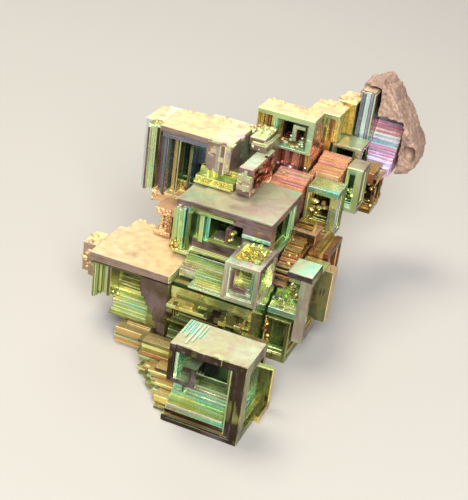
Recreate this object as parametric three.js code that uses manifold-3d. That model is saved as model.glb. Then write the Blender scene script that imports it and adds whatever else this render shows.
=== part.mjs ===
// A cluster of bismuth hopper crystals: square skeletal crystals that share one set of axes,
// each with hollow faces that step down like an inverted pyramid, and a skin of melt crust at
// the far end. Millimetres, +Z up, +Y from the front crystal to the crust.
//
// Every crystal is written in the cluster's own frame, whose zero is the lower right edge of
// the front crystal's front face. The whole cluster is then moved so that the middle of the
// surface it rests on is the origin.

import * as THREE from "three";
import { mergeVertices } from "three/addons/utils/BufferGeometryUtils.js";
import Module from "manifold-3d";

const wasm = await Module();
wasm.setup();

// ---------------------------------------------------------------- driving dimensions

const GAP = 0.3; // grain boundary between two crystals that meet
const OVERRUN = 1; // how far a cutting block reaches past the face that it opens

const FRONT_WIDTH = 14.6; // the front crystal, the one that sets the scale of the rest
const FRONT_DEPTH = 9;
const FRONT_TOP = 16.8;

const LEFT_FRONT = 20; // how far back each large crystal's front face stands
const RIGHT_FRONT = 30;
const CENTRE_FRONT = 30;
const UPPER_FRONT = 40;
const SUMMIT_FRONT = 56;
const END_FRONT = 75;

const LEFT_TOP = 16.8; // heights of the large crystals' top plates
const RIGHT_TOP = 20;
const CENTRE_TOP = 28.5;
const UPPER_TOP = 37.8;
const SUMMIT_TOP = 40.5;

const END_STEP_RISE = 1.27; // the striped flight of the end crystal
const END_STEP_RUN = 1;
const END_STEPS = 8;

// ---------------------------------------------------------------- finishes

const FINISH = {
  olive: { color: 0x8d9a52, roughness: 0.38, metalness: 0.9 },
  sand: { color: 0xc9b98a, roughness: 0.55, metalness: 0.7 },
  mauve: { color: 0x8a7382, roughness: 0.45, metalness: 0.85 },
  teal: { color: 0x6fae94, roughness: 0.35, metalness: 0.9 },
  gold: { color: 0xb79a3e, roughness: 0.36, metalness: 0.9 },
  copper: { color: 0xa8604a, roughness: 0.36, metalness: 0.9 },
  slate: { color: 0x5f7385, roughness: 0.36, metalness: 0.9 },
  rose: { color: 0xb57f8e, roughness: 0.35, metalness: 0.9 },
  crust: { color: 0xb08a7a, roughness: 0.75, metalness: 0.35 },
};

// ---------------------------------------------------------------- solids

/** A closed three.js geometry as a manifold solid. */
function solidOf(geometry) {
  const bare = geometry.clone();
  bare.deleteAttribute("normal");
  bare.deleteAttribute("uv");
  const merged = mergeVertices(bare);
  const mesh = new wasm.Mesh({
    numProp: 3,
    vertProperties: new Float32Array(merged.attributes.position.array),
    triVerts: new Uint32Array(merged.index.array),
  });
  return new wasm.Manifold(mesh);
}

/** A manifold solid as a three.js geometry. */
function geometryOf(solid) {
  const mesh = solid.getMesh();
  const geometry = new THREE.BufferGeometry();
  geometry.setAttribute("position", new THREE.BufferAttribute(mesh.vertProperties, 3));
  geometry.setIndex(new THREE.BufferAttribute(mesh.triVerts, 1));
  return geometry;
}

/** A block given by its span along X, Y and Z. */
function block(x, y, z) {
  const geometry = new THREE.BoxGeometry(x[1] - x[0], y[1] - y[0], z[1] - z[0]);
  geometry.translate((x[0] + x[1]) / 2, (y[0] + y[1]) / 2, (z[0] + z[1]) / 2);
  return solidOf(geometry);
}

const mix = (a, b, t) => a + (b - a) * t;
const mixSpan = (a, b, t) => [mix(a[0], b[0], t), mix(a[1], b[1], t)];

// The axis that each face looks along, and the two axes that span it.
const FACES = {
  front: { axis: 1, sign: -1, across: [0, 2] },
  back: { axis: 1, sign: 1, across: [0, 2] },
  left: { axis: 0, sign: -1, across: [1, 2] },
  right: { axis: 0, sign: 1, across: [1, 2] },
  top: { axis: 2, sign: 1, across: [0, 1] },
};

/**
 * The stepped hollow of a hopper face: nested blocks from the mouth to the floor.
 * `at` is where the face stands, `mouth` and `floor` are two spans across the face.
 */
function pit({ face, at, depth, mouth, floor, steps = 4 }) {
  const { axis, sign, across } = FACES[face];
  const cuts = [];
  for (let i = 0; i < steps; i += 1) {
    const t = i / (steps - 1);
    const near = at + sign * OVERRUN;
    const far = at - (sign * depth * (i + 1)) / steps;
    const spans = [];
    spans[axis] = [Math.min(near, far), Math.max(near, far)];
    spans[across[0]] = mixSpan(mouth[0], floor[0], t);
    spans[across[1]] = mixSpan(mouth[1], floor[1], t);
    cuts.push(block(...spans));
  }
  return cuts;
}

/** A flight of treads that climbs towards the back, each a block down to the same base. */
function stair({ x, y, z, steps }) {
  const run = (y[1] - y[0]) / steps;
  const treads = [];
  for (let i = 0; i < steps; i += 1) {
    const top = z[1] + (z[2] - z[1]) * (i / (steps - 1));
    treads.push(block(x, [y[0] + run * i, y[1]], [z[0], top]));
  }
  return treads;
}

/** A mesh whose zero is its lowest left front corner, placed where the cluster has it. */
function placed(name, finish, solid) {
  const geometry = geometryOf(solid);
  geometry.computeBoundingBox();
  const corner = geometry.boundingBox.min.clone();
  geometry.translate(-corner.x, -corner.y, -corner.z);
  const mesh = new THREE.Mesh(geometry, new THREE.MeshStandardMaterial(finish));
  mesh.name = name;
  mesh.position.copy(corner);
  return mesh;
}

/** One crystal: its blocks joined, its hollows cut, and the arms of its spirals put back. */
function crystal(name, finish, { blocks, pits = [], arms = [] }) {
  let solid = blocks.flat().reduce((sum, piece) => sum.add(piece));
  for (const hollow of pits) {
    solid = pit(hollow).reduce((rest, cut) => rest.subtract(cut), solid);
  }
  solid = arms.reduce((sum, arm) => sum.add(arm), solid);
  return placed(name, finish, solid);
}

// ---------------------------------------------------------------- front and left

function frontHopper() {
  return crystal("front_hopper", FINISH.teal, {
    blocks: [
      block([-FRONT_WIDTH, 0], [0, FRONT_DEPTH], [0, FRONT_TOP]),
      block([-13, 1], [FRONT_DEPTH - 0.5, 14.2], [0, 9]),
    ],
    pits: [
      { face: "front", at: 0, depth: 6.4, steps: 5,
        mouth: [[-13.1, -2.8], [1.5, 15.2]], floor: [[-11.4, -5], [7.5, 13.4]] },
      { face: "right", at: 1, depth: 7,
        mouth: [[1.8, 12.9], [1.4, 15]], floor: [[8.6, 12], [3, 8]] },
      { face: "back", at: 14.2, depth: 3, steps: 3,
        mouth: [[-12, -7.5], [1.5, 7.5]], floor: [[-10.6, -8.6], [3, 6]] },
    ],
    arms: [
      block([-13.6, -9.4], [1.2, 5], [7.6, 8.4]),
      block([-10, -9.1], [1.6, 6.8], [7.6, 12.2]),
      block([-12, -9.5], [2, 6.8], [11.3, 12.2]),
    ],
  });
}

function leftHopper() {
  const top = LEFT_TOP;
  const front = LEFT_FRONT;
  return crystal("left_hopper", FINISH.sand, {
    blocks: [
      block([-41.7, -24.4], [front, 33], [top - 2.5, top]),
      block([-40.2, -30.5], [32, 37.4], [top - 2.5, top]),
      block([-41.2, -24.4], [front + 1, 36], [6.2, top - 2]),
      block([-37, -24.4], [front + 0.6, 33], [3.9, 6.5]),
      block([-28.6, -24.4], [front, 30], [6.9, top - 2]),
      block([-26.8, -24.4], [front, 30], [2.1, 7]),
    ],
    pits: [
      { face: "front", at: front + 1, depth: 9, steps: 6,
        mouth: [[-40.3, -28.7], [4.4, 14.3]], floor: [[-37, -29.4], [11, 14]] },
      { face: "right", at: -24.4, depth: 1.5, steps: 2,
        mouth: [[21.5, 28.5], [8, 14]], floor: [[22.5, 27.5], [9, 13]] },
      { face: "back", at: 36, depth: 3, steps: 3,
        mouth: [[-39.6, -26], [7.4, 13.4]], floor: [[-37, -28.6], [9, 12]] },
    ],
  });
}

function leftKnob() {
  return crystal("left_knob", FINISH.sand, {
    blocks: [block([-45, -42], [23.5, 29], [10, 16.4]), block([-44.2, -42], [24.6, 30.4], [8.4, 15])],
    pits: [
      { face: "left", at: -45, depth: 1, steps: 2,
        mouth: [[24.4, 28.1], [11, 15.4]], floor: [[25.2, 27.3], [12, 14.4]] },
    ],
  });
}

function lowerTerraces() {
  const edge = -FRONT_WIDTH - GAP;
  return crystal("lower_terraces", FINISH.olive, {
    blocks: [
      block([-34, edge], [17.2, 19.7], [0, 3.2]),
      block([-34, -27.4], [19.5, 33], [0, 3.5]),
      block([-25.2, edge], [12.5, 17.5], [0, 4.2]),
      block([-25.2, edge], [10.5, 12.9], [0, 7.6]),
      block([-21.5, edge], [7, 11], [0, 5]),
      block([-17.8, edge], [2.5, 7.5], [0, 2.6]),
    ],
    pits: [
      { face: "front", at: 10.5, depth: 1.2, steps: 2,
        mouth: [[-24.4, -16], [5.4, 7]], floor: [[-23.6, -16.4], [5.9, 6.6]] },
      { face: "left", at: -34, depth: 2, steps: 2,
        mouth: [[20.6, 31.6], [0.8, 2.8]], floor: [[21.6, 30.6], [1.2, 2.4]] },
    ],
  });
}

// ---------------------------------------------------------------- the middle

function heartHopper() {
  return crystal("heart_hopper", FINISH.olive, {
    blocks: [
      block([-24.1, -7.3], [20, 37.2], [0, 15.4]),
      block([-23.4, -8], [16.6, 20.5], [8.6, 12.6]),
      block([-14.6, -3], [14.5, 20.5], [0, 9.8]),
    ],
    pits: [
      { face: "front", at: 16.6, depth: 3, steps: 3,
        mouth: [[-22.6, -9], [9.3, 11.9]], floor: [[-21.4, -10.4], [9.9, 11.3]] },
      { face: "right", at: -3, depth: 3, steps: 3,
        mouth: [[15.5, 19.6], [1.2, 8.7]], floor: [[16.7, 18.4], [3, 7]] },
    ],
  });
}

function stepHopper() {
  const front = 20;
  return crystal("step_hopper", FINISH.teal, {
    blocks: [
      block([-13.6, -6.5], [front, 29.7], [15.7, 24]),
      block([-24.1, -13], [front + 0.5, 27.7], [15.7, 18]),
      block([-24.1, -13], [front + 4, 27.7], [17.5, 19.3]),
    ],
    pits: [
      { face: "front", at: front, depth: 3.6,
        mouth: [[-12.7, -8.1], [18.4, 22.8]], floor: [[-11.8, -9.4], [20, 22]] },
      { face: "top", at: 24, depth: 2.4, steps: 3,
        mouth: [[-12.6, -7.6], [22.2, 28.6]], floor: [[-11.6, -8.8], [24, 27.4]] },
      { face: "right", at: -6.5, depth: 2, steps: 3,
        mouth: [[21.4, 28.4], [17, 22.8]], floor: [[23, 26.8], [18.6, 21.2]] },
    ],
    arms: [block([-11.4, -10.8], [front + 0.8, front + 3.8], [18.2, 21.2])],
  });
}

function centreHopper() {
  const top = CENTRE_TOP;
  const front = CENTRE_FRONT;
  return crystal("centre_hopper", FINISH.mauve, {
    blocks: [
      block([-25.8, -8.6], [front, 47.5], [top - 2.2, top]),
      block([-28.8, -25], [front + 1, 47.5], [17.7, top]),
      block([-28.8, -8.6], [front + 0.3, 47.5], [17.7, top]),
      block([-16.5, -8.6], [front, 32], [24.3, top]),
      block([-28, -14], [28, 38], [17.7, 20.8]),
    ],
    pits: [
      { face: "front", at: front + 0.3, depth: 7.2,
        mouth: [[-25.2, -14.4], [20.8, 26.3]], floor: [[-22, -15.6], [21.4, 25.4]] },
      { face: "right", at: -8.6, depth: 3,
        mouth: [[33, 41.4], [19.2, 27]], floor: [[35, 39.4], [21.4, 25]] },
      { face: "back", at: 47.5, depth: 3.4,
        mouth: [[-27, -18.6], [19, 27.4]], floor: [[-25, -20.6], [21, 25.4]] },
    ],
    arms: [
      block([-20.9, -17.3], [33, 38], [20.5, 21.3]),
      block([-18.2, -17.3], [32.6, 38], [20.5, 24]),
    ],
  });
}

function copperStair() {
  return crystal("copper_stair", FINISH.copper, {
    blocks: [
      stair({ x: [-8.3, -4.5], y: [30.3, 47.5], z: [15.7, 16.8, 23.2], steps: 8 }),
      block([-8.3, -3.2], [42.6, 47.5], [20.4, 22.3]),
    ],
  });
}

// ---------------------------------------------------------------- the right side

function rightHopper() {
  const top = RIGHT_TOP;
  const front = RIGHT_FRONT;
  return crystal("right_hopper", FINISH.teal, {
    blocks: [
      block([-4.2, 0.9], [front, 36.5], [top - 2.2, top]),
      block([-4.2, 0.9], [34.6, 42], [9.8, top - 2]),
      block([-1.3, 0.9], [front, 37], [5, top - 1]),
      block([-7, 0.9], [front, 37], [9.8, 11.2]),
      block([-7, 0], [32, 37], [11, 12.6]),
      block([-7, -4], [34, 37], [12.4, 14.4]),
      block([-4.2, 2.7], [38.6, 42], [6, 17.6]),
    ],
    pits: [
      { face: "right", at: 0.9, depth: 3.6, steps: 3,
        mouth: [[31.2, 38.6], [7.4, 17.6]], floor: [[35.4, 38.2], [9.4, 15.4]] },
      { face: "back", at: 42, depth: 1.8, steps: 2,
        mouth: [[-3.4, 1.8], [8.2, 16.4]], floor: [[-2.6, 1], [9.2, 15.2]] },
    ],
  });
}

function lowerRightHopper() {
  return crystal("lower_right_hopper", FINISH.olive, {
    blocks: [block([-7, -1.6], [29, 38.3], [0, 9.5])],
    pits: [
      { face: "front", at: 29, depth: 3, steps: 3,
        mouth: [[-6.2, -2.6], [1, 8.4]], floor: [[-5.4, -3.6], [2.6, 6.6]] },
      { face: "right", at: -1.6, depth: 2, steps: 3,
        mouth: [[30, 37.2], [1, 8.4]], floor: [[31.6, 35.6], [2.6, 6.8]] },
    ],
  });
}

function edgeSlabs() {
  return crystal("edge_slabs", FINISH.copper, {
    blocks: [
      block([-4, 0.2], [42.3, 51.7], [9, 20]),
      block([-8.4, 0.2], [42.3, 51.7], [6, 15.2]),
    ],
    pits: [
      { face: "right", at: 0.2, depth: 3, steps: 4,
        mouth: [[43.2, 50.8], [7, 19]], floor: [[45.2, 48.8], [9.6, 16.4]] },
      { face: "back", at: 51.7, depth: 3, steps: 3,
        mouth: [[-7.6, -0.6], [7, 14.4]], floor: [[-5.8, -2.4], [9, 12.4]] },
    ],
  });
}

function middleRightHopper() {
  return crystal("middle_right_hopper", FINISH.teal, {
    blocks: [block([-9.2, -2.3], [52, 58], [17.7, 28.2])],
    pits: [
      { face: "front", at: 52, depth: 3.4,
        mouth: [[-8.6, -3.6], [18.2, 27]], floor: [[-7.6, -4.8], [20.6, 25.4]] },
      { face: "right", at: -2.3, depth: 1.2, steps: 2,
        mouth: [[53, 57.2], [18.2, 27]], floor: [[53.8, 56.4], [19.6, 25.6]] },
    ],
  });
}

function narrowHopper() {
  return crystal("narrow_hopper", FINISH.mauve, {
    blocks: [block([-4, -0.4], [62, 67.7], [20, 30.2])],
    pits: [
      { face: "front", at: 62, depth: 2.2, steps: 3,
        mouth: [[-3.5, -1.6], [21, 29.2]], floor: [[-3.1, -2.1], [22.6, 27.6]] },
      { face: "right", at: -0.4, depth: 0.8, steps: 2,
        mouth: [[62.8, 66.9], [21, 29.2]], floor: [[63.6, 66.1], [22, 28.2]] },
    ],
  });
}

function brownHopper() {
  return crystal("brown_hopper", FINISH.gold, {
    blocks: [block([-2.6, 1.8], [68, 74.7], [18, 26.2]), block([-2.6, 0.8], [68, 74.7], [25, 27.5])],
    pits: [
      { face: "front", at: 68, depth: 2, steps: 3,
        mouth: [[-2, 1], [19, 25.2]], floor: [[-1.4, 0.4], [20.6, 23.8]] },
      { face: "right", at: 1.8, depth: 1.4, steps: 2,
        mouth: [[69, 73.8], [19, 25.2]], floor: [[69.8, 73], [20, 24.2]] },
    ],
  });
}

// ---------------------------------------------------------------- the upper left

function pillar() {
  return crystal("pillar", FINISH.copper, {
    blocks: [
      block([-35.2, -31], [33.4, 40.1], [17.1, 22.6]),
      block([-35.2, -29.2], [35, 40.1], [17.1, 21]),
      block([-35.2, -29.2], [38, 44], [17.1, 19.5]),
    ],
  });
}

function upperHopper() {
  const top = UPPER_TOP;
  const front = UPPER_FRONT;
  return crystal("upper_hopper", FINISH.slate, {
    blocks: [
      block([-38.2, -22.3], [front, 50.5], [top - 2.5, top]),
      block([-43.3, -37.5], [43.5, 52], [21.4, top - 0.8]),
      block([-42, -29.2], [front + 0.6, 53], [22, top - 1]),
      block([-42, -22.3], [44, 53], [28.8, top - 1]),
      block([-40.4, -31], [front + 0.4, 52], [19.8, 23]),
      block([-26.4, -22.3], [front + 0.6, 47], [31.8, top]),
    ],
    pits: [
      { face: "front", at: front + 0.5, depth: 8, steps: 5,
        mouth: [[-37.6, -26.4], [23.4, 35.3]], floor: [[-32, -27], [28, 34]] },
      { face: "left", at: -43.3, depth: 1.4, steps: 2,
        mouth: [[44.6, 51], [23, 35.6]], floor: [[45.8, 49.8], [24.4, 34]] },
      { face: "back", at: 53, depth: 2.6,
        mouth: [[-40.6, -30.4], [23.4, 35.4]], floor: [[-38, -33], [26, 32.6]] },
    ],
  });
}

function floorBlock() {
  return crystal("floor_block", FINISH.gold, {
    blocks: [stair({ x: [-28.9, -20.6], y: [37.6, 43.7], z: [28.8, 29.5, 31.4], steps: 4 })],
  });
}

function finCrystal() {
  return crystal("fin_crystal", FINISH.mauve, {
    blocks: [block([-19.5, -16.6], [38, 50], [28.8, 34.8])],
    pits: [
      { face: "right", at: -16.6, depth: 1.8, steps: 3,
        mouth: [[39, 49], [29.6, 34]], floor: [[41, 47], [30.8, 33]] },
    ],
  });
}

function saddleCrystal() {
  return crystal("saddle_crystal", FINISH.sand, {
    blocks: [
      block([-22, -17.6], [46.5, 55.7], [35.1, 37.6]),
      block([-22, -17.6], [50.4, 55.7], [28.2, 36]),
    ],
    pits: [
      { face: "left", at: -22, depth: 1.2, steps: 2,
        mouth: [[51.2, 54.9], [29.2, 34.6]], floor: [[52, 54.1], [30.2, 33.6]] },
    ],
  });
}

function backHopper() {
  return crystal("back_hopper", FINISH.slate, {
    blocks: [block([-36, -24.3], [53.3, 64], [20, 33])],
    pits: [
      { face: "back", at: 64, depth: 5.2, steps: 5,
        mouth: [[-34.8, -25.5], [21.2, 31.8]], floor: [[-32, -28.4], [24.4, 28.6]] },
      { face: "left", at: -36, depth: 3,
        mouth: [[54.5, 62.8], [21.2, 31.8]], floor: [[57, 60.2], [24.4, 28.6]] },
    ],
  });
}

// ---------------------------------------------------------------- the summit and the pink floor

function summitHopper() {
  const top = SUMMIT_TOP;
  const front = SUMMIT_FRONT;
  return crystal("summit_hopper", FINISH.gold, {
    blocks: [
      block([-23.6, -10.9], [front, 62.5], [35.8, top]),
      block([-20.2, -10.9], [front, 62.5], [32.8, 36.2]),
    ],
    pits: [
      { face: "front", at: front, depth: 4,
        mouth: [[-19.4, -12.4], [34, 39]], floor: [[-17.6, -14.4], [35.2, 38]] },
      { face: "back", at: 62.5, depth: 1.8, steps: 3,
        mouth: [[-22.6, -12], [36.6, 39.6]], floor: [[-20.6, -14], [37.4, 38.8]] },
    ],
  });
}

function ribColumn() {
  return crystal("rib_column", FINISH.copper, {
    blocks: [
      block([-17.3, -11], [56.5, 66], [22, 32.5]),
      block([-19, -16.8], [57.5, 66], [24, 32.5]),
    ],
    pits: [
      { face: "left", at: -19, depth: 1.4, steps: 2,
        mouth: [[58.5, 65], [25, 31.6]], floor: [[59.5, 64], [26, 30.6]] },
    ],
  });
}

function roseFloor() {
  return crystal("rose_floor", FINISH.rose, {
    blocks: [
      stair({ x: [-17, -9.5], y: [47.8, 56.2], z: [22, 27.4, 29], steps: 5 }),
      block([-10.7, -9.5], [56, 59], [22, 29]),
      stair({ x: [-10.7, -4.3], y: [58.3, 66], z: [22, 29.2, 30.8], steps: 5 }),
    ],
  });
}

function ridgeHopper() {
  return crystal("ridge_hopper", FINISH.gold, {
    blocks: [
      block([-15.5, -8.6], [66.3, 73.5], [32.5, 39]),
      block([-15.5, -9.9], [66.3, 73.5], [24, 33]),
    ],
    pits: [
      { face: "front", at: 66.3, depth: 1.5, steps: 3,
        mouth: [[-14.6, -9.6], [33.2, 37.6]], floor: [[-13.6, -10.8], [34, 36.8]] },
      { face: "left", at: -15.5, depth: 2.4, steps: 3,
        mouth: [[67.2, 72.6], [25, 37.8]], floor: [[68.8, 71], [27.4, 35]] },
    ],
  });
}

function spurHopper() {
  return crystal("spur_hopper", FINISH.gold, {
    blocks: [block([-11.4, -7.3], [73.8, 81], [32.5, 39.8]), block([-14, -7.3], [75, 83], [26, 36])],
    pits: [
      { face: "left", at: -14, depth: 2.4, steps: 3,
        mouth: [[76, 82], [27, 35]], floor: [[77.6, 80.4], [29, 33]] },
    ],
  });
}

function shelfHopper() {
  return crystal("shelf_hopper", FINISH.teal, {
    blocks: [block([-9.6, -2.9], [68, 74.7], [26.5, 32.2])],
    pits: [
      { face: "front", at: 68, depth: 3, steps: 3,
        mouth: [[-8.6, -4.6], [27.6, 31.2]], floor: [[-7.8, -5.6], [28.4, 30.4]] },
    ],
  });
}

// ---------------------------------------------------------------- the far end and the underside

function endHopper() {
  const rear = 86;
  const flight = [];
  for (let i = 0; i < END_STEPS; i += 1) {
    flight.push(
      block([-4.6, 2.4], [END_FRONT + END_STEP_RUN * i, rear], [24.5, 27 + END_STEP_RISE * i]),
    );
  }
  return crystal("end_hopper", FINISH.rose, {
    blocks: [flight, block([-7, -4], [END_FRONT, rear], [30, 42.5])],
    pits: [
      { face: "front", at: END_FRONT, depth: 1.2, steps: 2,
        mouth: [[-6.4, -4.8], [31, 41.4]], floor: [[-6, -5.2], [32, 40.4]] },
    ],
  });
}

function meltCrust() {
  const outline = [
    [-8.4, 34], [-8.6, 40.6], [-6.6, 44], [-3.6, 45], [-0.8, 42.8], [2.2, 38.8], [5.3, 34.4],
    [7.7, 29.8], [7.4, 26.4], [5.3, 24], [1.4, 23.2], [-3.6, 25],
  ];
  const shape = new THREE.Shape(outline.map(([x, z]) => new THREE.Vector2(x, z)));
  const geometry = new THREE.ExtrudeGeometry(shape, {
    depth: 7, bevelEnabled: true, bevelThickness: 2, bevelSize: 1.2, bevelOffset: -1.2, bevelSegments: 2,
  });
  geometry.rotateX(Math.PI / 2);
  geometry.translate(0, 87, 0);
  let solid = solidOf(geometry);
  const hollows = [
    block([-7.3, -3.7], [70, 86.3], [20, 42.8]),
    block([-4.9, 2.7], [70, 86.3], [20, 36.4]),
    block([-20, -7], [70, 83.3], [20, 40.1]),
  ];
  solid = hollows.reduce((rest, cut) => rest.subtract(cut), solid);
  const cavity = new THREE.SphereGeometry(1.7, 10, 6);
  cavity.scale(1, 1.3, 1.25);
  cavity.translate(5.4, 77.2, 29.6);
  return placed("melt_crust", FINISH.crust, solid.subtract(solidOf(cavity)));
}

function rearFoot() {
  return crystal("rear_foot", FINISH.olive, {
    blocks: [block([-29, -8.7], [37.5, 57], [0, 17.4])],
    pits: [
      { face: "left", at: -29, depth: 6.3, steps: 3,
        mouth: [[39, 55.5], [1.4, 16]], floor: [[44, 50.6], [6, 11.6]] },
      { face: "back", at: 57, depth: 2, steps: 2,
        mouth: [[-22, -14], [1.4, 7.2]], floor: [[-20.4, -15.6], [2.8, 6]] },
      { face: "right", at: -8.7, depth: 1.6, steps: 2,
        mouth: [[52.2, 56], [1.2, 16]], floor: [[53.4, 54.8], [4, 13]] },
    ],
  });
}

function rearColumn() {
  return crystal("rear_column", FINISH.gold, {
    blocks: [block([-24, -9.5], [57.3, 71], [8, 21.7])],
    pits: [
      { face: "back", at: 71, depth: 6.3, steps: 3,
        mouth: [[-22.8, -10.7], [9.2, 20.5]], floor: [[-18.8, -14.6], [13, 16.8]] },
      { face: "left", at: -24, depth: 3, steps: 2,
        mouth: [[59.6, 68.2], [9.2, 20.5]], floor: [[62, 65.8], [13, 16.8]] },
      { face: "right", at: -9.5, depth: 2.4, steps: 2,
        mouth: [[60, 68.4], [9.2, 20.5]], floor: [[62.4, 66], [12.6, 17.2]] },
    ],
  });
}

// ---------------------------------------------------------------- the cluster

const cluster = new THREE.Group();
cluster.add(
  frontHopper(),
  leftHopper(),
  leftKnob(),
  lowerTerraces(),
  heartHopper(),
  stepHopper(),
  centreHopper(),
  copperStair(),
  rightHopper(),
  lowerRightHopper(),
  edgeSlabs(),
  middleRightHopper(),
  narrowHopper(),
  brownHopper(),
  pillar(),
  upperHopper(),
  floorBlock(),
  finCrystal(),
  saddleCrystal(),
  backHopper(),
  summitHopper(),
  ribColumn(),
  roseFloor(),
  ridgeHopper(),
  spurHopper(),
  shelfHopper(),
  endHopper(),
  meltCrust(),
  rearFoot(),
  rearColumn(),
);

const bounds = new THREE.Box3().setFromObject(cluster);
const middle = bounds.getCenter(new THREE.Vector3());
cluster.position.set(-middle.x, -middle.y, -bounds.min.z);

const specimen = new THREE.Group();
specimen.add(cluster);
specimen.updateMatrixWorld(true);

export default specimen;
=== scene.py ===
"""A cluster of bismuth hopper crystals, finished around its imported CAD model.

Every crystal is written in millimetres in the cluster's own frame: X to the right, Y to the
back, Z up, with zero at the lower right edge of the front crystal's front face.
"""

import logging
import math
import random
from collections.abc import Iterator, Sequence
from dataclasses import dataclass, field
from enum import Enum
from types import FunctionType
from typing import ClassVar

import bmesh
import bpy
from mathutils import Euler, Matrix, Vector


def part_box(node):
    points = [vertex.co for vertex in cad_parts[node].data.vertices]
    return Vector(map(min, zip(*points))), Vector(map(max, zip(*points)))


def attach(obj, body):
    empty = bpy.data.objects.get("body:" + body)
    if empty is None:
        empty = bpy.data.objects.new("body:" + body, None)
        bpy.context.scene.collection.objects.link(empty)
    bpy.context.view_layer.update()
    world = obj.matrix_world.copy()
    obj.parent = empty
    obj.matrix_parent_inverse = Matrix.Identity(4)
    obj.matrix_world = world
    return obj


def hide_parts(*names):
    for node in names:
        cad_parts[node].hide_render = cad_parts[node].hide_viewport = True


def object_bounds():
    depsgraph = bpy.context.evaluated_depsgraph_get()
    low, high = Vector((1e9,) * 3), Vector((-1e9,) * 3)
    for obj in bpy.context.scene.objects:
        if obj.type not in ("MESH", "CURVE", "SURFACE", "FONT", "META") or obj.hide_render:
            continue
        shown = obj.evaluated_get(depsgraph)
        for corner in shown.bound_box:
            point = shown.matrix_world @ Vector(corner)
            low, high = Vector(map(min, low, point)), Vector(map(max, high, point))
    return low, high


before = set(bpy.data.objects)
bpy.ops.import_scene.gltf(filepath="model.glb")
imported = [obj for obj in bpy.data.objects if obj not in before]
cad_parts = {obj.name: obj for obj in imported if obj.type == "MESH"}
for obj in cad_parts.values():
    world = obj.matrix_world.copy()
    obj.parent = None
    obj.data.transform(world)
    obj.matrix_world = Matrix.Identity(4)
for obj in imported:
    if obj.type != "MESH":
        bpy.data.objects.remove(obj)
CAD_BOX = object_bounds()

log = logging.getLogger("bismuth")

MM = 0.001  # one millimetre in the frame's metres
OVERRUN = 1.0  # how far a cutter reaches past the face that it opens
LAP = 0.03  # how far neighbouring sheets reach into each other
EDGE = 0.1  # the width of a worn crystal edge
CLEAR = 0.28  # the room that an edge needs beside it to be worn
EDGE_PAINTED_HIGHLIGHT = 2.0  # painted highlight: how much brighter a worn edge's colour is than its faces
CORNER = math.radians(50)  # faces that meet more sharply than this make an edge
SIDE_OVERHANG = 1.0  # the front crystal's right end, past the cluster's zero
FLAT = 0.5  # a face whose normal reaches this far along an axis looks along it
LONG = 1.7  # a face this much longer than wide carries growth lines along its length

Span = tuple[float, float]


# ---------------------------------------------------------------- names and directions


class Film(Enum):
    """The oxide films, in the order in which they shade into each other."""

    CREAM = "E2CC8E"
    SAND = "CFB67A"
    TAN = "C09C6E"
    PEACH = "E6B48C"
    ROSE_TAN = "BE8C80"
    ROSE = "DC9AA4"
    LILAC = "D8C0E8"
    LAVENDER = "A594AC"
    SLATE = "68767C"
    BLUE = "88AAB4"
    ICE = "D6E8EC"
    TEAL = "80D6BC"
    MINT = "B2E8C2"
    PEARL = "CEDBAE"
    BLUSH = "BEA898"
    PALE_MINT = "C2E0B0"
    SAGE = "BACC94"
    LEAF = "A6C26E"
    LIME = "DCE294"
    YELLOW = "E8DA7A"
    GOLD = "D2AC5C"
    AMBER = "8C6A36"
    COPPER = "C67C5E"
    RUST = "8E5040"
    WINE = "5E323A"
    MAUVE = "7E6E76"
    TAUPE = "43372F"
    BARK = "382A1A"
    OLIVE = "949458"
    MOSS = "647A42"
    PINE = "36532F"
    # nearly black: painted shade on the innermost floors of deep hollows
    NIGHT = "11190C"

    @property
    def place(self) -> float:
        """Where the film stands on the scale from 0 to 1."""
        return list(Film).index(self) / (len(Film) - 1)

    @property
    def colour(self) -> tuple[float, float, float, float]:
        """The film's colour as linear light."""
        return linear(self.value)


class Face(Enum):
    """The faces of an upright block: the axis each looks along, and which way."""

    FRONT = (1, -1)
    BACK = (1, 1)
    LEFT = (0, -1)
    RIGHT = (0, 1)
    TOP = (2, 1)
    UNDER = (2, -1)

    @property
    def axis(self) -> int:
        """The axis that the face looks along."""
        return self.value[0]

    @property
    def sign(self) -> int:
        """Which way along its axis the face looks."""
        return self.value[1]

    @property
    def across(self) -> tuple[int, int]:
        """The two axes that span the face."""
        first, second = (axis for axis in range(3) if axis != self.axis)
        return first, second


class Cut(Enum):
    """What a shape does to the crystal it is given to."""

    JOIN = "UNION"
    TAKE = "DIFFERENCE"


def linear(code: str) -> tuple[float, float, float, float]:
    """Turns a colour code into linear light.

    Args:
        code: Six hexadecimal digits of red, green and blue.

    Returns:
        Red, green, blue and an alpha of one.
    """
    parts = [int(code[i : i + 2], 16) / 255 for i in (0, 2, 4)]
    red, green, blue = (p / 12.92 if p <= 0.04045 else ((p + 0.055) / 1.055) ** 2.4 for p in parts)
    return red, green, blue, 1.0


def unit(axis: int) -> Vector:
    """The unit vector along an axis."""
    return Vector([1.0 if i == axis else 0.0 for i in range(3)])


def add(name: str, data: bpy.types.ID) -> bpy.types.Object:
    """Puts an object into the scene.

    Args:
        name: Its name.
        data: The mesh, light or camera that it shows.

    Returns:
        The object.
    """
    made = bpy.data.objects.new(name, data)
    bpy.context.scene.collection.objects.link(made)
    return made


def grown(base: bpy.types.Object) -> bpy.types.Mesh:
    """The mesh that an object's modifiers make of it."""
    graph = bpy.context.evaluated_depsgraph_get()
    return bpy.data.meshes.new_from_object(base.evaluated_get(graph))


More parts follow.
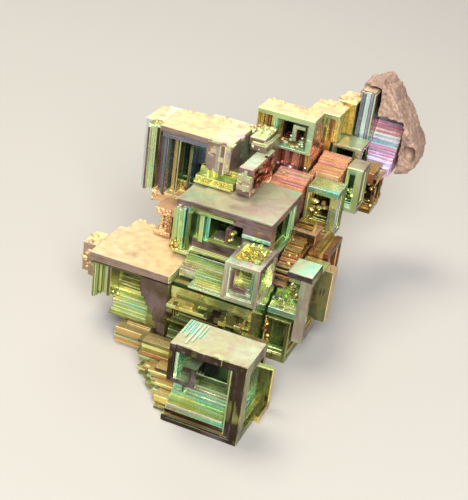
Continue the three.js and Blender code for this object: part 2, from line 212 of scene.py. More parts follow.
def hand_over(mesh: bpy.types.Mesh, node: str, slot: str, skin: bpy.types.Material, zero: Vector) -> None:
    """Turns a finished mesh into the piece that stands in for its CAD node.

    Args:
        mesh: The mesh, in millimetres in the cluster's frame.
        node: The CAD node.
        slot: The material slot; not used.
        skin: The material.
        zero: The cluster's zero in the frame.
    """
    mesh.name = f"{node}_grown"
    mesh.transform(Matrix.Translation(zero) @ Matrix.Scale(MM, 4))
    mesh.materials.clear()
    mesh.materials.append(skin)
    piece = add(mesh.name, mesh)
    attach(piece, "root")
    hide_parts(node)
    corners = [vert.co for vert in mesh.vertices]
    low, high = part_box(node)
    proud = max(
        max(max(c[i] for c in corners) - high[i], low[i] - min(c[i] for c in corners)) for i in range(3)
    )
    log.info("%s: %d faces, %.2f mm proud of its node", piece.name, len(mesh.polygons), proud / MM)


# ---------------------------------------------------------------- coats and solids


@dataclass(frozen=True)
class Coat:
    """The films of one shape, each list running from its outside to its innermost face."""

    up: tuple[Film, ...]
    out: tuple[Film, ...]
    side: tuple[Film, ...]
    skin: float = 0.0  # dull crust on the faces that look up
    rim_skin: float = 0.0  # dull crust on the others
    dark: float = 0.0  # painted shade: how much darker the innermost face is, for the shade deep in a hollow
    spread: float = 0.012  # how far a face's film strays from the one listed

    def lay(self, normal: Vector, depth: float, rng: random.Random) -> Vector:
        """Chooses the coat of one face.

        Args:
            normal: The way the finished face looks.
            depth: Where it lies, from 0 at the outside to 1 at the innermost.
            rng: The crystal's own source of chance.

        Returns:
            The film's place on the scale, the amount of skin, and the brightness, which holds the painted
            shade of deep faces.
        """
        if normal.z > FLAT:
            films, skin = self.up, self.skin
        elif abs(normal.y) > FLAT:
            films, skin = self.out, self.rim_skin
        else:
            films, skin = self.side, self.rim_skin
        reach = min(max(depth + rng.uniform(-0.08, 0.08), 0.0), 0.999)
        film = films[int(reach * len(films))].place + rng.uniform(-self.spread, self.spread)
        # painted shade: deeper faces come out darker by dark, times a random tone
        light = (1.0 - self.dark * min(depth, 1.0)) * rng.uniform(0.86, 1.0)
        return Vector((film, skin * rng.uniform(0.85, 1.0), light))


class Solid:
    """A closed bmesh in millimetres whose faces carry their coat and the run of their lines."""

    def __init__(self) -> None:
        """Starts an empty solid."""
        self.bm = bmesh.new()
        self.coat = self.bm.faces.layers.float_vector.new("coat")
        self.across = self.bm.faces.layers.float_vector.new("across")

    def box(self, spans: Sequence[Span]) -> None:
        """Adds an upright block that fills three spans."""
        made = bmesh.ops.create_cube(self.bm, size=1.0)["verts"]
        size = [high - low for low, high in spans]
        middle = [(high + low) / 2 for low, high in spans]
        bmesh.ops.scale(self.bm, vec=size, verts=made)
        bmesh.ops.translate(self.bm, vec=middle, verts=made)
        self.bm.normal_update()

    def line(self, face: bmesh.types.BMFace, grain: int | None) -> Vector:
        """Works out the direction across a face's growth lines.

        Args:
            face: The face that carries the lines.
            grain: The axis that the lines follow, or None to follow the face's long side.

        Returns:
            A unit vector in the face, or a zero vector where it has no lines.
        """
        if grain is not None:
            return face.normal.cross(unit(grain))
        edge = max(face.edges, key=lambda e: e.calc_length())
        length = edge.calc_length()
        if length * length < LONG * face.calc_area():
            return Vector((0.0, 0.0, 0.0))
        return face.normal.cross((edge.verts[1].co - edge.verts[0].co).normalized())

    def dress(
        self, coat: Coat, rng: random.Random, depth: float = 0.0, grain: int | None = None, turn: int = 1
    ) -> None:
        """Gives every face its coat and the run of its lines.

        Args:
            coat: The films to choose from.
            rng: The crystal's own source of chance.
            depth: Where the solid lies, from 0 at the outside to 1 at the innermost.
            grain: The axis that the lines follow, or None to follow each face's long side.
            turn: Minus one on a cutter, whose faces end up looking the other way.
        """
        for face in self.bm.faces:
            face[self.coat] = coat.lay(face.normal * turn, depth, rng)
            face[self.across] = self.line(face, grain)

    def finish(self, name: str) -> bpy.types.Object:
        """Closes the bmesh and hands it over as an object."""
        mesh = bpy.data.meshes.new(name)
        self.bm.to_mesh(mesh)
        self.bm.free()
        return add(name, mesh)


@dataclass(frozen=True)
class Block:
    """An upright block, a plate, rim or arm of a crystal."""

    x: Span
    y: Span
    z: Span
    coat: Coat
    grain: int | None = None
    cut: Cut = Cut.JOIN

    def solids(self, rng: random.Random) -> Iterator[Solid]:
        """Makes the block's solid.

        Args:
            rng: The crystal's own source of chance.

        Yields:
            The one solid.
        """
        solid = Solid()
        solid.box((self.x, self.y, self.z))
        solid.dress(self.coat, rng, grain=self.grain, turn=-1 if self.cut is Cut.TAKE else 1)
        yield solid


@dataclass(frozen=True)
class Sheets:
    """A block that grew as sheets, each drawn back from the block's sides by its own amount."""

    x: Span
    y: Span
    z: Span
    coat: Coat
    axis: int
    count: int
    ragged: dict[Face, float]
    gap: float = 0.0  # the share of each sheet that is left open beside the next one
    cut: ClassVar[Cut] = Cut.JOIN

    def solids(self, rng: random.Random) -> Iterator[Solid]:
        """Makes the sheets one by one.

        Args:
            rng: The crystal's own source of chance.

        Yields:
            One solid for each sheet.
        """
        spans = [self.x, self.y, self.z]
        low, high = spans[self.axis]
        shares = [rng.uniform(0.5, 1.5) for _ in range(self.count)]
        start = low
        for i, share in enumerate(shares):
            end = start + (high - low) * share / sum(shares)
            mine = [list(span) for span in spans]
            lap = LAP if i and not self.gap else 0.0
            mine[self.axis] = [start - lap, end - (end - start) * self.gap]
            for face, most in self.ragged.items():
                side = 1 if face.sign > 0 else 0
                mine[face.axis][side] -= face.sign * rng.uniform(0.0, most)
            solid = Solid()
            solid.box(mine)
            solid.dress(self.coat, rng, i / self.count)
            yield solid
            start = end


@dataclass(frozen=True)
class Flight:
    """Treads that climb, or hang lower, towards one side, with ends that are not quite level."""

    x: Span
    y: Span
    z: tuple[float, float, float]
    coat: Coat
    steps: int
    ragged: float = 0.0
    towards: Face = Face.BACK
    cut: ClassVar[Cut] = Cut.JOIN

    def solids(self, rng: random.Random) -> Iterator[Solid]:
        """Makes the treads, each a block from the same base.

        Args:
            rng: The crystal's own source of chance.

        Yields:
            One solid for each tread.
        """
        base, first, last = self.z
        shares = [rng.uniform(0.5, 1.5) for _ in range(self.steps)]
        gone = 0.0
        for i, share in enumerate(shares):
            level = first + (last - first) * i / (self.steps - 1)
            spans = [list(self.x), list(self.y), sorted((base, level))]
            run = spans[self.towards.axis]
            length = run[1] - run[0]
            if self.towards.sign > 0:
                run[0] += length * gone
            else:
                run[1] -= length * gone
            if self.ragged:
                end = 0 if self.towards.axis == 1 else 1
                spans[end][0] += rng.uniform(0.0, self.ragged)
                spans[end][1] -= rng.uniform(0.0, self.ragged)
            gone += share / sum(shares)
            solid = Solid()
            solid.box(spans)
            solid.dress(self.coat, rng, i / self.steps)
            yield solid


@dataclass(frozen=True)
class Hopper:
    """The stepped hollow of a hopper face, cut by an inverted pyramid of uneven steps."""

    face: Face
    at: float
    depth: float
    mouth: tuple[Span, Span]
    floor: tuple[Span, Span]
    coat: Coat
    steps: int
    cut: ClassVar[Cut] = Cut.TAKE

    def _levels(self, rng: random.Random) -> list[float]:
        """Shares out the way from the mouth to the floor among the steps.

        Args:
            rng: The crystal's own source of chance.

        Returns:
            One rising number from 0 to 1 for each step.
        """
        shares = [rng.uniform(0.35, 1.65) for _ in range(self.steps - 1)]
        total = 0.0
        levels = [0.0]
        for share in shares:
            total += share
            levels.append(total / sum(shares))
        return levels

    def _reshape(self, solid: Solid, face: bmesh.types.BMFace, spans: Sequence[Span]) -> None:
        """Scales and slides an upright rectangle until it fills new spans across the hopper.

        Args:
            solid: The solid that the rectangle belongs to.
            face: The rectangle.
            spans: Its new spans along the face's two axes.
        """
        centre = face.calc_center_median()
        scale = Vector((1.0, 1.0, 1.0))
        move = Vector((0.0, 0.0, 0.0))
        for axis, (low, high) in zip(self.face.across, spans):
            places = [vert.co[axis] for vert in face.verts]
            scale[axis] = (high - low) / (max(places) - min(places))
            move[axis] = (high + low) / 2 - centre[axis]
        space = Matrix.Translation(-centre)
        bmesh.ops.scale(solid.bm, vec=scale, space=space, verts=face.verts)
        bmesh.ops.translate(solid.bm, vec=move, verts=face.verts)

    def solids(self, rng: random.Random) -> Iterator[Solid]:
        """Makes the cutter: a block at the mouth, then a ledge and a wall for each step.

        Args:
            rng: The crystal's own source of chance.

        Yields:
            The one solid.
        """
        levels = [self._levels(rng) for _ in range(4)]
        depths = self._levels(rng)
        first = self.depth / self.steps
        inwards = unit(self.face.axis) * -self.face.sign
        solid = Solid()
        spans: list[Span] = [(0.0, 0.0)] * 3
        near = self.at + self.face.sign * OVERRUN
        far = self.at - self.face.sign * first
        spans[self.face.axis] = (min(near, far), max(near, far))
        for axis, span in zip(self.face.across, self.mouth):
            spans[axis] = span
        solid.box(spans)
        cap = max(solid.bm.faces, key=lambda face: face.normal.dot(inwards))
        for i in range(1, self.steps):
            rect = [
                tuple(m + (f - m) * levels[2 * n + k][i] for k, (m, f) in enumerate(zip(mouth, floor)))
                for n, (mouth, floor) in enumerate(zip(self.mouth, self.floor))
            ]
            cap = bmesh.ops.extrude_discrete_faces(solid.bm, faces=[cap])["faces"][0]
            self._reshape(solid, cap, rect)
            cap = bmesh.ops.extrude_discrete_faces(solid.bm, faces=[cap])["faces"][0]
            drop = (self.depth - first) * (depths[i] - depths[i - 1])
            bmesh.ops.translate(solid.bm, vec=inwards * drop, verts=cap.verts)
        bmesh.ops.recalc_face_normals(solid.bm, faces=solid.bm.faces)
        for face in solid.bm.faces:
            # each face's depth into the hollow picks its film and its painted shade
            depth = abs(face.calc_center_median()[self.face.axis] - self.at) / self.depth
            face[solid.coat] = self.coat.lay(-face.normal, depth, rng)
            face[solid.across] = solid.line(face, None)
        yield solid


@dataclass(frozen=True)
class Knobs:
    """Small rounded lumps of crystal scattered through a box."""

    x: Span
    y: Span
    z: Span
    coat: Coat
    count: int
    radius: Span
    flat: float = 0.8  # how low a lump is for its width
    square: bool = False
    cut: ClassVar[Cut] = Cut.JOIN

    def solids(self, rng: random.Random) -> Iterator[Solid]:
        """Makes the lumps.

        Args:
            rng: The crystal's own source of chance.

        Yields:
            One solid for each lump.
        """
        for _ in range(self.count):
            solid = Solid()
            radius = rng.uniform(*self.radius)
            if self.square:
                verts = bmesh.ops.create_cube(solid.bm, size=1.7 * radius)["verts"]
                turn = Euler((0.0, 0.0, 0.0))
            else:
                ball = bmesh.ops.create_uvsphere(solid.bm, u_segments=8, v_segments=5, radius=radius)
                verts = ball["verts"]
                turn = Euler([rng.uniform(0.0, math.pi) for _ in range(3)])
            stretch = [rng.uniform(0.75, 1.25), rng.uniform(0.75, 1.25), self.flat * rng.uniform(0.8, 1.2)]
            bmesh.ops.rotate(solid.bm, matrix=turn.to_matrix(), verts=verts)
            bmesh.ops.scale(solid.bm, vec=stretch, verts=verts)
            place = [rng.uniform(*span) for span in (self.x, self.y, self.z)]
            bmesh.ops.translate(solid.bm, vec=place, verts=verts)
            solid.bm.normal_update()
            tint = self.coat.lay(Vector((0.0, 0.0, 1.0)), rng.random(), rng)
            for face in solid.bm.faces:
                face[solid.coat] = tint
            yield solid


Shape = Block | Sheets | Flight | Hopper | Knobs


# ---------------------------------------------------------------- shader maths


class Wire:
    """One socket of a shader, which the usual operators join into Math nodes."""

    def __init__(self, graph: "Graph", socket: bpy.types.NodeSocket) -> None:
        """Keeps the socket and the graph that it belongs to."""
        self.graph = graph
        self.socket = socket

    def _math(self, operation: str, *values: "Wire | float") -> "Wire":
        """Adds a Math node and returns its result."""
        return self.graph.node("ShaderNodeMath", {"operation": operation}, dict(enumerate(values)))

    def __add__(self, other: "Wire | float") -> "Wire":
        """Adds two values."""
        return self._math("ADD", self, other)

    def __sub__(self, other: "Wire | float") -> "Wire":
        """Takes one value from another."""
        return self._math("SUBTRACT", self, other)

    def __mul__(self, other: "Wire | float") -> "Wire":
        """Multiplies two values."""
        return self._math("MULTIPLY", self, other)

    def __rsub__(self, other: float) -> "Wire":
        """Takes this value from a number."""
        return self._math("SUBTRACT", other, self)

    __radd__ = __add__
    __rmul__ = __mul__

    def clamp(self) -> "Wire":
        """Holds the value between 0 and 1."""
        return self.graph.node("ShaderNodeClamp", {}, {"Value": self})


class Graph:
    """The node tree of one material."""

    def __init__(self, name: str) -> None:
        """Starts an empty material."""
        self.material = bpy.data.materials.new(name)
        self.material.use_nodes = True
        self.material.node_tree.nodes.clear()

    def node(
        self, kind: str, settings: dict[str, object], inputs: dict[str | int, object], out: str | int = 0
    ) -> Wire:
        """Adds one node.

        Args:
            kind: The node's type.
            settings: Its own settings, with a ramp's stops under "stops".
            inputs: Values or wires for its sockets, by name or number.
            out: The output that is wanted.

        Returns:
            That output as a wire.
        """
        made = self.material.node_tree.nodes.new(kind)
        for name, value in settings.items():
            if name == "stops":
                self._stops(made.color_ramp, value)
            else:
                setattr(made, name, value)
        for key, value in inputs.items():
            if isinstance(value, Wire):
                self.material.node_tree.links.new(value.socket, made.inputs[key])
            else:
                made.inputs[key].default_value = value
        return Wire(self, made.outputs[out])

    @staticmethod
    def _stops(ramp: bpy.types.ColorRamp, stops: Sequence[tuple[float, Sequence[float]]]) -> None:
        """Gives a ramp its stops, from the lowest to the highest."""
        while len(ramp.elements) > 1:
            ramp.elements.remove(ramp.elements[-1])
        for i, (place, colour) in enumerate(stops):
            stop = ramp.elements[0] if i == 0 else ramp.elements.new(place)
            stop.position = place
            stop.color = colour

    def mix(self, kind: str, factor: Wire | float, first: object, second: object) -> Wire:
        """Mixes two colours in the way that the kind names."""
        settings = {"data_type": "RGBA", "blend_type": kind, "clamp_result": True}
        return self.node("ShaderNodeMix", settings, {0: factor, 6: first, 7: second}, out=2)

    def vector(self, operation: str, *values: object, out: str = "Vector") -> Wire:
        """Adds a Vector Math node."""
        return self.node("ShaderNodeVectorMath", {"operation": operation}, dict(enumerate(values)), out)

    def noise(self, place: Wire, scale: float, detail: float, distortion: float = 0.0) -> Wire:
        """Adds a Noise Texture and returns its value from 0 to 1."""
        inputs = {"Vector": place, "Scale": scale, "Detail": detail, "Distortion": distortion}
        return self.node("ShaderNodeTexNoise", {}, inputs)

    def split(self, vector: Wire) -> tuple[Wire, ...]:
        """Takes a vector apart into its three values."""
        parts = self.node("ShaderNodeSeparateXYZ", {}, {"Vector": vector}).socket.node.outputs
        return tuple(Wire(self, part) for part in parts)

    def grey(self, level: Wire) -> Wire:
        """The grey of a given brightness."""
        return self.node("ShaderNodeCombineColor", {}, {0: level, 1: level, 2: level})

    def place(self) -> Wire:
        """The place on the piece, in millimetres."""
        metres = self.node("ShaderNodeTexCoord", {}, {}, out="Object")
        return self.vector("MULTIPLY", metres, (1 / MM,) * 3)

    def end(self, shader: Wire) -> bpy.types.Material:
        """Joins the shader to the material's output and hands the material over."""
        out = self.material.node_tree.nodes.new("ShaderNodeOutputMaterial")
        self.material.node_tree.links.new(shader.socket, out.inputs["Surface"])
        return self.material


# ---------------------------------------------------------------- finishes


@dataclass(frozen=True)
class OxideFinish:
    """Bismuth metal under a thin oxide film, with dull crust where a face grew in air."""

    slot: str
    metal: float = 0.82
    gloss: float = 0.26  # the roughness of a clean face
    drift: float = 0.05  # how far the film wanders over a face
    band: float = 0.05  # how far it changes from one growth line to the next
    relief: float = 0.22
    crust: Film = Film.CREAM
    crust_tint: Film = Film.ROSE_TAN
    crust_gloss: float = 0.62
    crust_metal: float = 0.25

    def material(self) -> bpy.types.Material:
        """Builds the shader.

        Returns:
            The finished material.
        """
        graph = Graph(self.slot)
        coat = graph.node("ShaderNodeAttribute", {"attribute_name": "coat"}, {}, out="Vector")
        across = graph.node("ShaderNodeAttribute", {"attribute_name": "across"}, {}, out="Vector")
        film, skin, light = graph.split(coat)
        place = graph.place()

        run = graph.vector("DOT_PRODUCT", place, across, out="Value")
        stretched = graph.node("ShaderNodeVectorMath", {"operation": "SCALE"}, {0: across, "Scale": run})
        broad = graph.vector("MULTIPLY", place, (0.14,) * 3)
        fine = graph.vector("MULTIPLY_ADD", stretched, (2.6,) * 3, broad)
        lines = graph.noise(fine, 0.9, 2.0)
        wave = graph.noise(place, 0.8, 2.0)
        cloud = graph.noise(place, 0.22, 3.0, 0.6)
        grain = graph.noise(place, 3.2, 4.0)
        patch = graph.noise(place, 0.55, 5.0, 0.3)

        tone = film + (cloud - 0.5) * (2 * self.drift) + (lines - 0.5) * (2 * self.band)
        scale = [(member.place, member.colour) for member in Film]
        colour = graph.node("ShaderNodeValToRGB", {"stops": scale}, {"Fac": tone.clamp()})
        mask = (skin + (patch - 0.5) * 1.6 * skin * (1.6 - skin)).clamp()
        tint = (patch * 2.0 - 0.6).clamp() * 0.75
        dull = graph.mix("MIX", tint, self.crust.colour, self.crust_tint.colour)
        colour = graph.mix("MIX", mask, colour, dull)
        # the coat's brightness is painted light: shade darkening deep faces and highlight brightening worn
        # edges, with random tone
        level = light * (0.8 + lines * 0.3 + grain * 0.1) + mask * (grain - patch) * 0.5
        colour = graph.mix("MULTIPLY", 1.0, colour, graph.grey(level))

        rough = (self.gloss + mask * (self.crust_gloss - self.gloss) + (patch - 0.5) * 0.2).clamp()
        metallic = (self.metal - mask * (self.metal - self.crust_metal)).clamp()
        height = lines * 0.6 + wave * 1.3 + grain * (0.01 + 1.3 * mask)
        bump = graph.node(
            "ShaderNodeBump", {}, {"Strength": self.relief, "Distance": 0.12 * MM, "Height": height}
        )
        shader = graph.node(
            "ShaderNodeBsdfPrincipled",
            {},
            {"Base Color": colour, "Roughness": rough, "Metallic": metallic, "Normal": bump},
        )
        return graph.end(shader)


# ---------------------------------------------------------------- the workshop


@dataclass(frozen=True)
class Crystal:
    """One crystal: the shapes that it is joined and cut from, in order, and its loose knobs."""

    slot: str
    shapes: tuple[Shape, ...]
    knobs: tuple[Knobs, ...] = ()


class Group:
    """Neighbouring crystals, each written by the method that has its CAD node's name."""

    def crystals(self) -> Iterator[tuple[str, Crystal]]:
        """Calls the group's methods in their order.

        Yields:
            Each crystal's node and the crystal.
        """
        for name, member in vars(type(self)).items():
            if isinstance(member, FunctionType) and not name.startswith("_"):
                yield name, member(self)


class Workshop:
    """Turns crystals into finished pieces that stand in for their CAD nodes."""

    def __init__(self) -> None:
        """Finds the cluster's zero in the frame and mixes one finish for each slot."""
        low, high = (Vector(corner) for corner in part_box("front_hopper"))
        self.zero = Vector((high.x - SIDE_OVERHANG * MM, low.y, low.z))
        self.finishes = {finish.slot: finish.material() for finish in FINISHES}

    @staticmethod
    def _combine(parts: Sequence[tuple[Cut, bpy.types.Object]]) -> bpy.types.Mesh:
        """Joins and cuts solids one after another, and clears them away.

        Args:
            parts: The solids in order, each with what it does to those before it.

        Returns:
            The mesh that results.
        """
        base = parts[0][1]
        for cut, tool in parts[1:]:
            step = base.modifiers.new("step", "BOOLEAN")
            step.operation = cut.value
            step.solver = "MANIFOLD"
            step.object = tool
        mesh = grown(base)
        for _, tool in parts:
            bpy.data.meshes.remove(tool.data)
        return mesh

    @staticmethod
    def _stands_clear(edge: bmesh.types.BMEdge) -> bool:
        """Tells whether an edge is sharp, long, and has room beside it on both its faces.

        Args:
            edge: An edge of the mesh.

        Returns:
            True if the edge can be worn without touching another.
        """
        length = edge.calc_length()
        if length < CLEAR or not edge.is_manifold or edge.calc_face_angle() < CORNER:
            return False
        if any(other.calc_length() < CLEAR for vert in edge.verts for other in vert.link_edges):
            return False
        start = edge.verts[0].co
        along = (edge.verts[1].co - start) / length
        for face in edge.link_faces:
            for vert in face.verts:
                step = vert.co - start
                run = step.dot(along)
                if -CLEAR < run < length + CLEAR and LAP / 10 < (step - along * run).length < CLEAR:
                    return False
        return True

    def build(self, node: str, crystal: Crystal) -> None:
        """Builds one crystal and puts it in place of its CAD node.

        Args:
            node: The CAD node.
            crystal: What it is made of.
        """
        rng = random.Random(node)
        parts, loose = (
            [(shape.cut, solid.finish("tool")) for shape in shapes for solid in shape.solids(rng)]
            for shapes in (crystal.shapes, crystal.knobs)
        )
        mesh = self._combine(parts)
        self._wear(mesh)
        if loose:
            mesh = self._combine([(Cut.JOIN, add("base", mesh))] + loose)
        hand_over(mesh, node, crystal.slot, self.finishes[crystal.slot], self.zero)

    def _wear(self, mesh: bpy.types.Mesh) -> None:
        """Cuts a narrow worn face along every edge that has room for it, and paints it brighter than its
        neighbours as a painted highlight.

        Args:
            mesh: The crystal's mesh, in millimetres.
        """
        bm = bmesh.new()
        bm.from_mesh(mesh)
        edges = [edge for edge in bm.edges if self._stands_clear(edge)]
        worn = bmesh.ops.bevel(bm, geom=edges, offset=EDGE, segments=1, affect="EDGES")["faces"]
        coat = bm.faces.layers.float_vector["coat"]
        # painted highlight: each worn face's brightness is multiplied so the edges glint
        for face in worn:
            film, skin, light = face[coat]
            face[coat] = (film, skin, light * EDGE_PAINTED_HIGHLIGHT)
        bm.to_mesh(mesh)
        bm.free()


FINISHES = (
    OxideFinish("olive_film", drift=0.035),
    OxideFinish("sand_film", metal=0.8, gloss=0.34, drift=0.04),
    OxideFinish("mauve_film", gloss=0.32, drift=0.08, crust=Film.BLUSH),
    OxideFinish("teal_film", gloss=0.26, drift=0.08, crust=Film.BLUSH),
    OxideFinish("gold_film", gloss=0.28, drift=0.035),
    OxideFinish("copper_film", gloss=0.28, drift=0.03),
    OxideFinish("slate_film", gloss=0.28, drift=0.03),
    OxideFinish("rose_film", metal=0.55, gloss=0.26, drift=0.02),
)

F = Film  # short for the long lists of films below
FRONT, BACK, LEFT, RIGHT, TOP, UNDER = Face

# ---------------------------------------------------------------- front and left


@dataclass
class FrontGroup(Group):
    """The front crystal with its open face and spiral arm, and the terraces behind its left side."""

    width: float = 14.6
    depth: float = 9.0
    top: float = 16.8
    hollow: float = 6.4  # how deep the front face goes in
    rim: Coat = Coat((F.SAGE,), (F.TAUPE,), (F.BARK,), skin=0.55, spread=0.02)
    stairs: Coat = Coat(
        (F.PEARL, F.LIME, F.MINT, F.PALE_MINT, F.PEARL, F.SAGE),
        (F.BARK, F.PEARL, F.SAGE, F.MINT, F.SAGE, F.TEAL), (F.SAND, F.SAGE, F.LEAF, F.MOSS), dark=0.15,
    )
    pit: Coat = Coat(
        (F.SAND, F.MINT, F.SAGE, F.MOSS, F.PINE), (F.SAGE, F.MINT, F.PINE, F.MOSS, F.NIGHT),
        (F.PALE_MINT, F.TEAL, F.MOSS, F.PINE), dark=0.2,
    )

    def front_hopper(self) -> Crystal:
        """The front crystal: double rim, stepped hollow, spiral arm and a flight of bright terraces."""
        side = Coat(
            (F.OLIVE, F.LIME, F.TEAL, F.OLIVE, F.GOLD), (F.OLIVE, F.SAGE, F.BARK),
            (F.GOLD, F.OLIVE, F.LIME, F.BARK), dark=0.2,
        )
        arm = Coat((F.BLUSH,), (F.TAUPE,), (F.TAUPE,))
        return Crystal("teal_film", (
            Block((-self.width, 0), (0, self.depth), (0, self.top), self.rim),
            Block((-13, 1), (self.depth - 0.5, 14.2), (0, 9), Coat((F.LIME,), (F.GOLD,), (F.GOLD,))),
            Hopper(FRONT, 0, 0.25, ((-13.9, -1.4), (0.8, 15.9)), ((-13.6, -1.9), (1.1, 15.6)), self.rim, 2),
            Hopper(
                FRONT, 0, self.hollow, ((-13.4, -2.7), (1.3, 15.2)), ((-11.4, -5), (7.5, 13.6)), self.pit, 7,
            ),
            Block((-16, -12.6), (-1, 6.4), (1.4, 9.3), self.pit, cut=Cut.TAKE),
            Hopper(RIGHT, 1, 7, ((1.8, 12.9), (1.3, 15)), ((8.6, 12), (3, 8)), side, 9),
            Hopper(BACK, 14.2, 3, ((-12, -5.5), (1.5, 7.5)), ((-10.6, -8.6), (3, 6)), side, 6),
            Flight((-15.1, -3.0), (0.1, 6.5), (0, 1.2, 7.6), self.stairs, 8, ragged=0.7),
            Block((-14.6, -9.3), (0.1, 3), (8.9, 9.7), arm),
            Block((-10.2, -9.2), (0.3, 4.4), (8.9, 12.6), arm),
            Block((-11.9, -9.2), (0.3, 4.4), (11.8, 12.7), arm),
            Sheets((-14.5, -0.2), (-0.3, 1.2), (15.8, 16.9), self.rim, 0, 15, {FRONT: 0.5, UNDER: -0.5}),
            Sheets(
                (-14.2, -10.4), (1.0, 8.8), (16.5, 17.1), Coat((F.MINT, F.PEARL), (F.MINT,), (F.PEARL,)), 0,
                7, {TOP: 0.1, FRONT: 3.8, BACK: 0.8}, gap=0.45,
            ),
        ))

    def lower_terraces(self) -> Crystal:
        """The ragged slabs that step down to the front crystal's left side."""
        slab = Coat(
            (F.LIME, F.SAGE, F.CREAM), (F.TAN, F.OLIVE, F.SAND, F.BLUSH, F.LIME, F.AMBER, F.SAND),
            (F.TAN, F.PEACH), skin=0.1, rim_skin=0.3, spread=0.03,
        )
        green = Coat(
            (F.LIME, F.SAGE, F.CREAM), (F.OLIVE, F.LIME, F.SAND, F.MOSS, F.SAGE, F.AMBER, F.LIME, F.BARK),
            (F.OLIVE, F.SAND), rim_skin=0.15, spread=0.03,
        )
        ends = {LEFT: 1.6, FRONT: 1.0}
        edge = -self.width - 0.3
        return Crystal("olive_film", (
            Sheets((-34, edge), (16.9, 19.7), (0, 3.4), slab, 2, 7, ends),
            Sheets((-34, -27.4), (19.5, 33), (0, 3.7), slab, 2, 7, ends),
            Sheets((-27.6, edge), (14.6, 17.5), (0, 4.4), green, 2, 9, ends),
            Sheets((-25.2, edge), (11.8, 17.5), (0, 4.2), green, 2, 8, ends),
            Sheets((-25.2, edge), (10.1, 12.9), (0, 7.6), green, 2, 13, ends),
            Sheets((-23.2, edge), (8.3, 11), (0, 4), green, 2, 8, ends),
            Sheets((-21.5, edge), (6.6, 11), (0, 5), green, 2, 10, ends),
            Sheets((-19.4, edge), (4.6, 7.5), (0, 3.4), green, 2, 7, ends),
            Sheets((-17.8, edge), (2.1, 7.5), (0, 2.6), green, 2, 6, ends),
        ))


@dataclass
class LeftGroup(Group):
    """The left crystal under its wide dull plate, and the knob on its corner."""

    front: float = 20.0
    top: float = 16.8
    plate: float = 2.5
    skin: Coat = Coat((F.LAVENDER,), (F.MAUVE,), (F.SAGE,), skin=1.0, rim_skin=0.3)
    leg: Coat = Coat((F.MAUVE,), (F.TAUPE, F.MAUVE), (F.OLIVE,), rim_skin=0.1, spread=0.008)

    def left_hopper(self) -> Crystal:
        """The left crystal: plate, hanging strips, a tapering leg and a green floor."""
        strips = Coat((F.LIME,), (F.OLIVE, F.LIME, F.MOSS, F.SAGE, F.GOLD), (F.OLIVE, F.LIME), spread=0.01)
        pit = Coat(
            (F.LIME, F.PEARL, F.LIME, F.CREAM, F.SAGE), (F.SAGE, F.LIME, F.OLIVE, F.MOSS),
            (F.SAGE, F.OLIVE, F.PINE), dark=0.1,
        )
        front, top = self.front, self.top
        return Crystal("sand_film", (
            Block((-41.7, -24.4), (front, 33), (top - 1.6, top), self.skin),
            Block((-40.2, -30.5), (32, 37.4), (top - 2.5, top), self.skin),
            Block((-41.3, -24.7), (front + 0.5, 33), (top - self.plate, top - 1), self.leg),
            Block((-41.2, -24.4), (front + 1, 36), (6.2, top - 2), strips),
            Block((-37, -24.4), (front + 0.6, 33), (3.9, 6.5), strips),
            Hopper(FRONT, front + 1, 9, ((-40.6, -28.7), (4.4, 14.4)), ((-37, -29.4), (11, 14)), pit, 12),
            Hopper(RIGHT, -24.4, 1.5, ((21.5, 28.5), (8, 14)), ((22.5, 27.5), (9, 13)), pit, 5),
            Hopper(BACK, 36, 3, ((-39.6, -26), (7.4, 13.4)), ((-37, -28.6), (9, 12)), pit, 7),
            Sheets((-41.3, -37.9), (21.2, 28), (6.6, 14.8), strips, 0, 7, {FRONT: 1.6, UNDER: 0.8}),
            Block((-37.9, -37.2), (21, 25), (7.4, 14.8), self.leg, grain=2),
            Flight((-30.4, -24.4), (front, 29), (14.8, 11.4, 2.1), self.leg, 13, ragged=0.3, towards=RIGHT),
        ), (
            Knobs((-40, -31), (36.6, 37.5), (16.2, 16.8), self.skin, 16, (0.4, 0.8)),
            Knobs((-30.4, -25), (32.4, 33.1), (16.2, 16.8), self.skin, 10, (0.4, 0.7)),
            Knobs(
                (-37.6, -36.4), (21.6, 24), (5.6, 8.4), Coat((F.YELLOW, F.LIME), (F.LIME,), (F.LIME,)), 8,
                (0.25, 0.5),
            ),
        ))

    def left_knob(self) -> Crystal:
        """The dull knob that closes the left crystal's far corner."""
        dull = Coat((F.SAND, F.MAUVE, F.OLIVE), (F.MAUVE,), (F.TAUPE,), skin=0.6, rim_skin=0.4)
        return Crystal("sand_film", (
            Block((-45, -42), (23.5, 29), (10, 16.4), dull),
            Block((-44.2, -42), (24.6, 30.4), (8.4, 15), dull),
            Hopper(LEFT, -45, 1, ((24.4, 28.1), (11, 15.4)), ((25.2, 27.3), (12, 14.4)), dull, 4),
        ), (
            Knobs((-44.6, -42.2), (24, 29), (15.9, 16.3), dull, 12, (0.4, 0.9)),
            Knobs((-44.7, -42.2), (23.5, 23.8), (10.4, 16), dull, 14, (0.35, 0.8)),
            Knobs((-44.9, -44.6), (24, 28.6), (10.4, 15.8), dull, 10, (0.35, 0.8)),
        ))


# ---------------------------------------------------------------- the middle


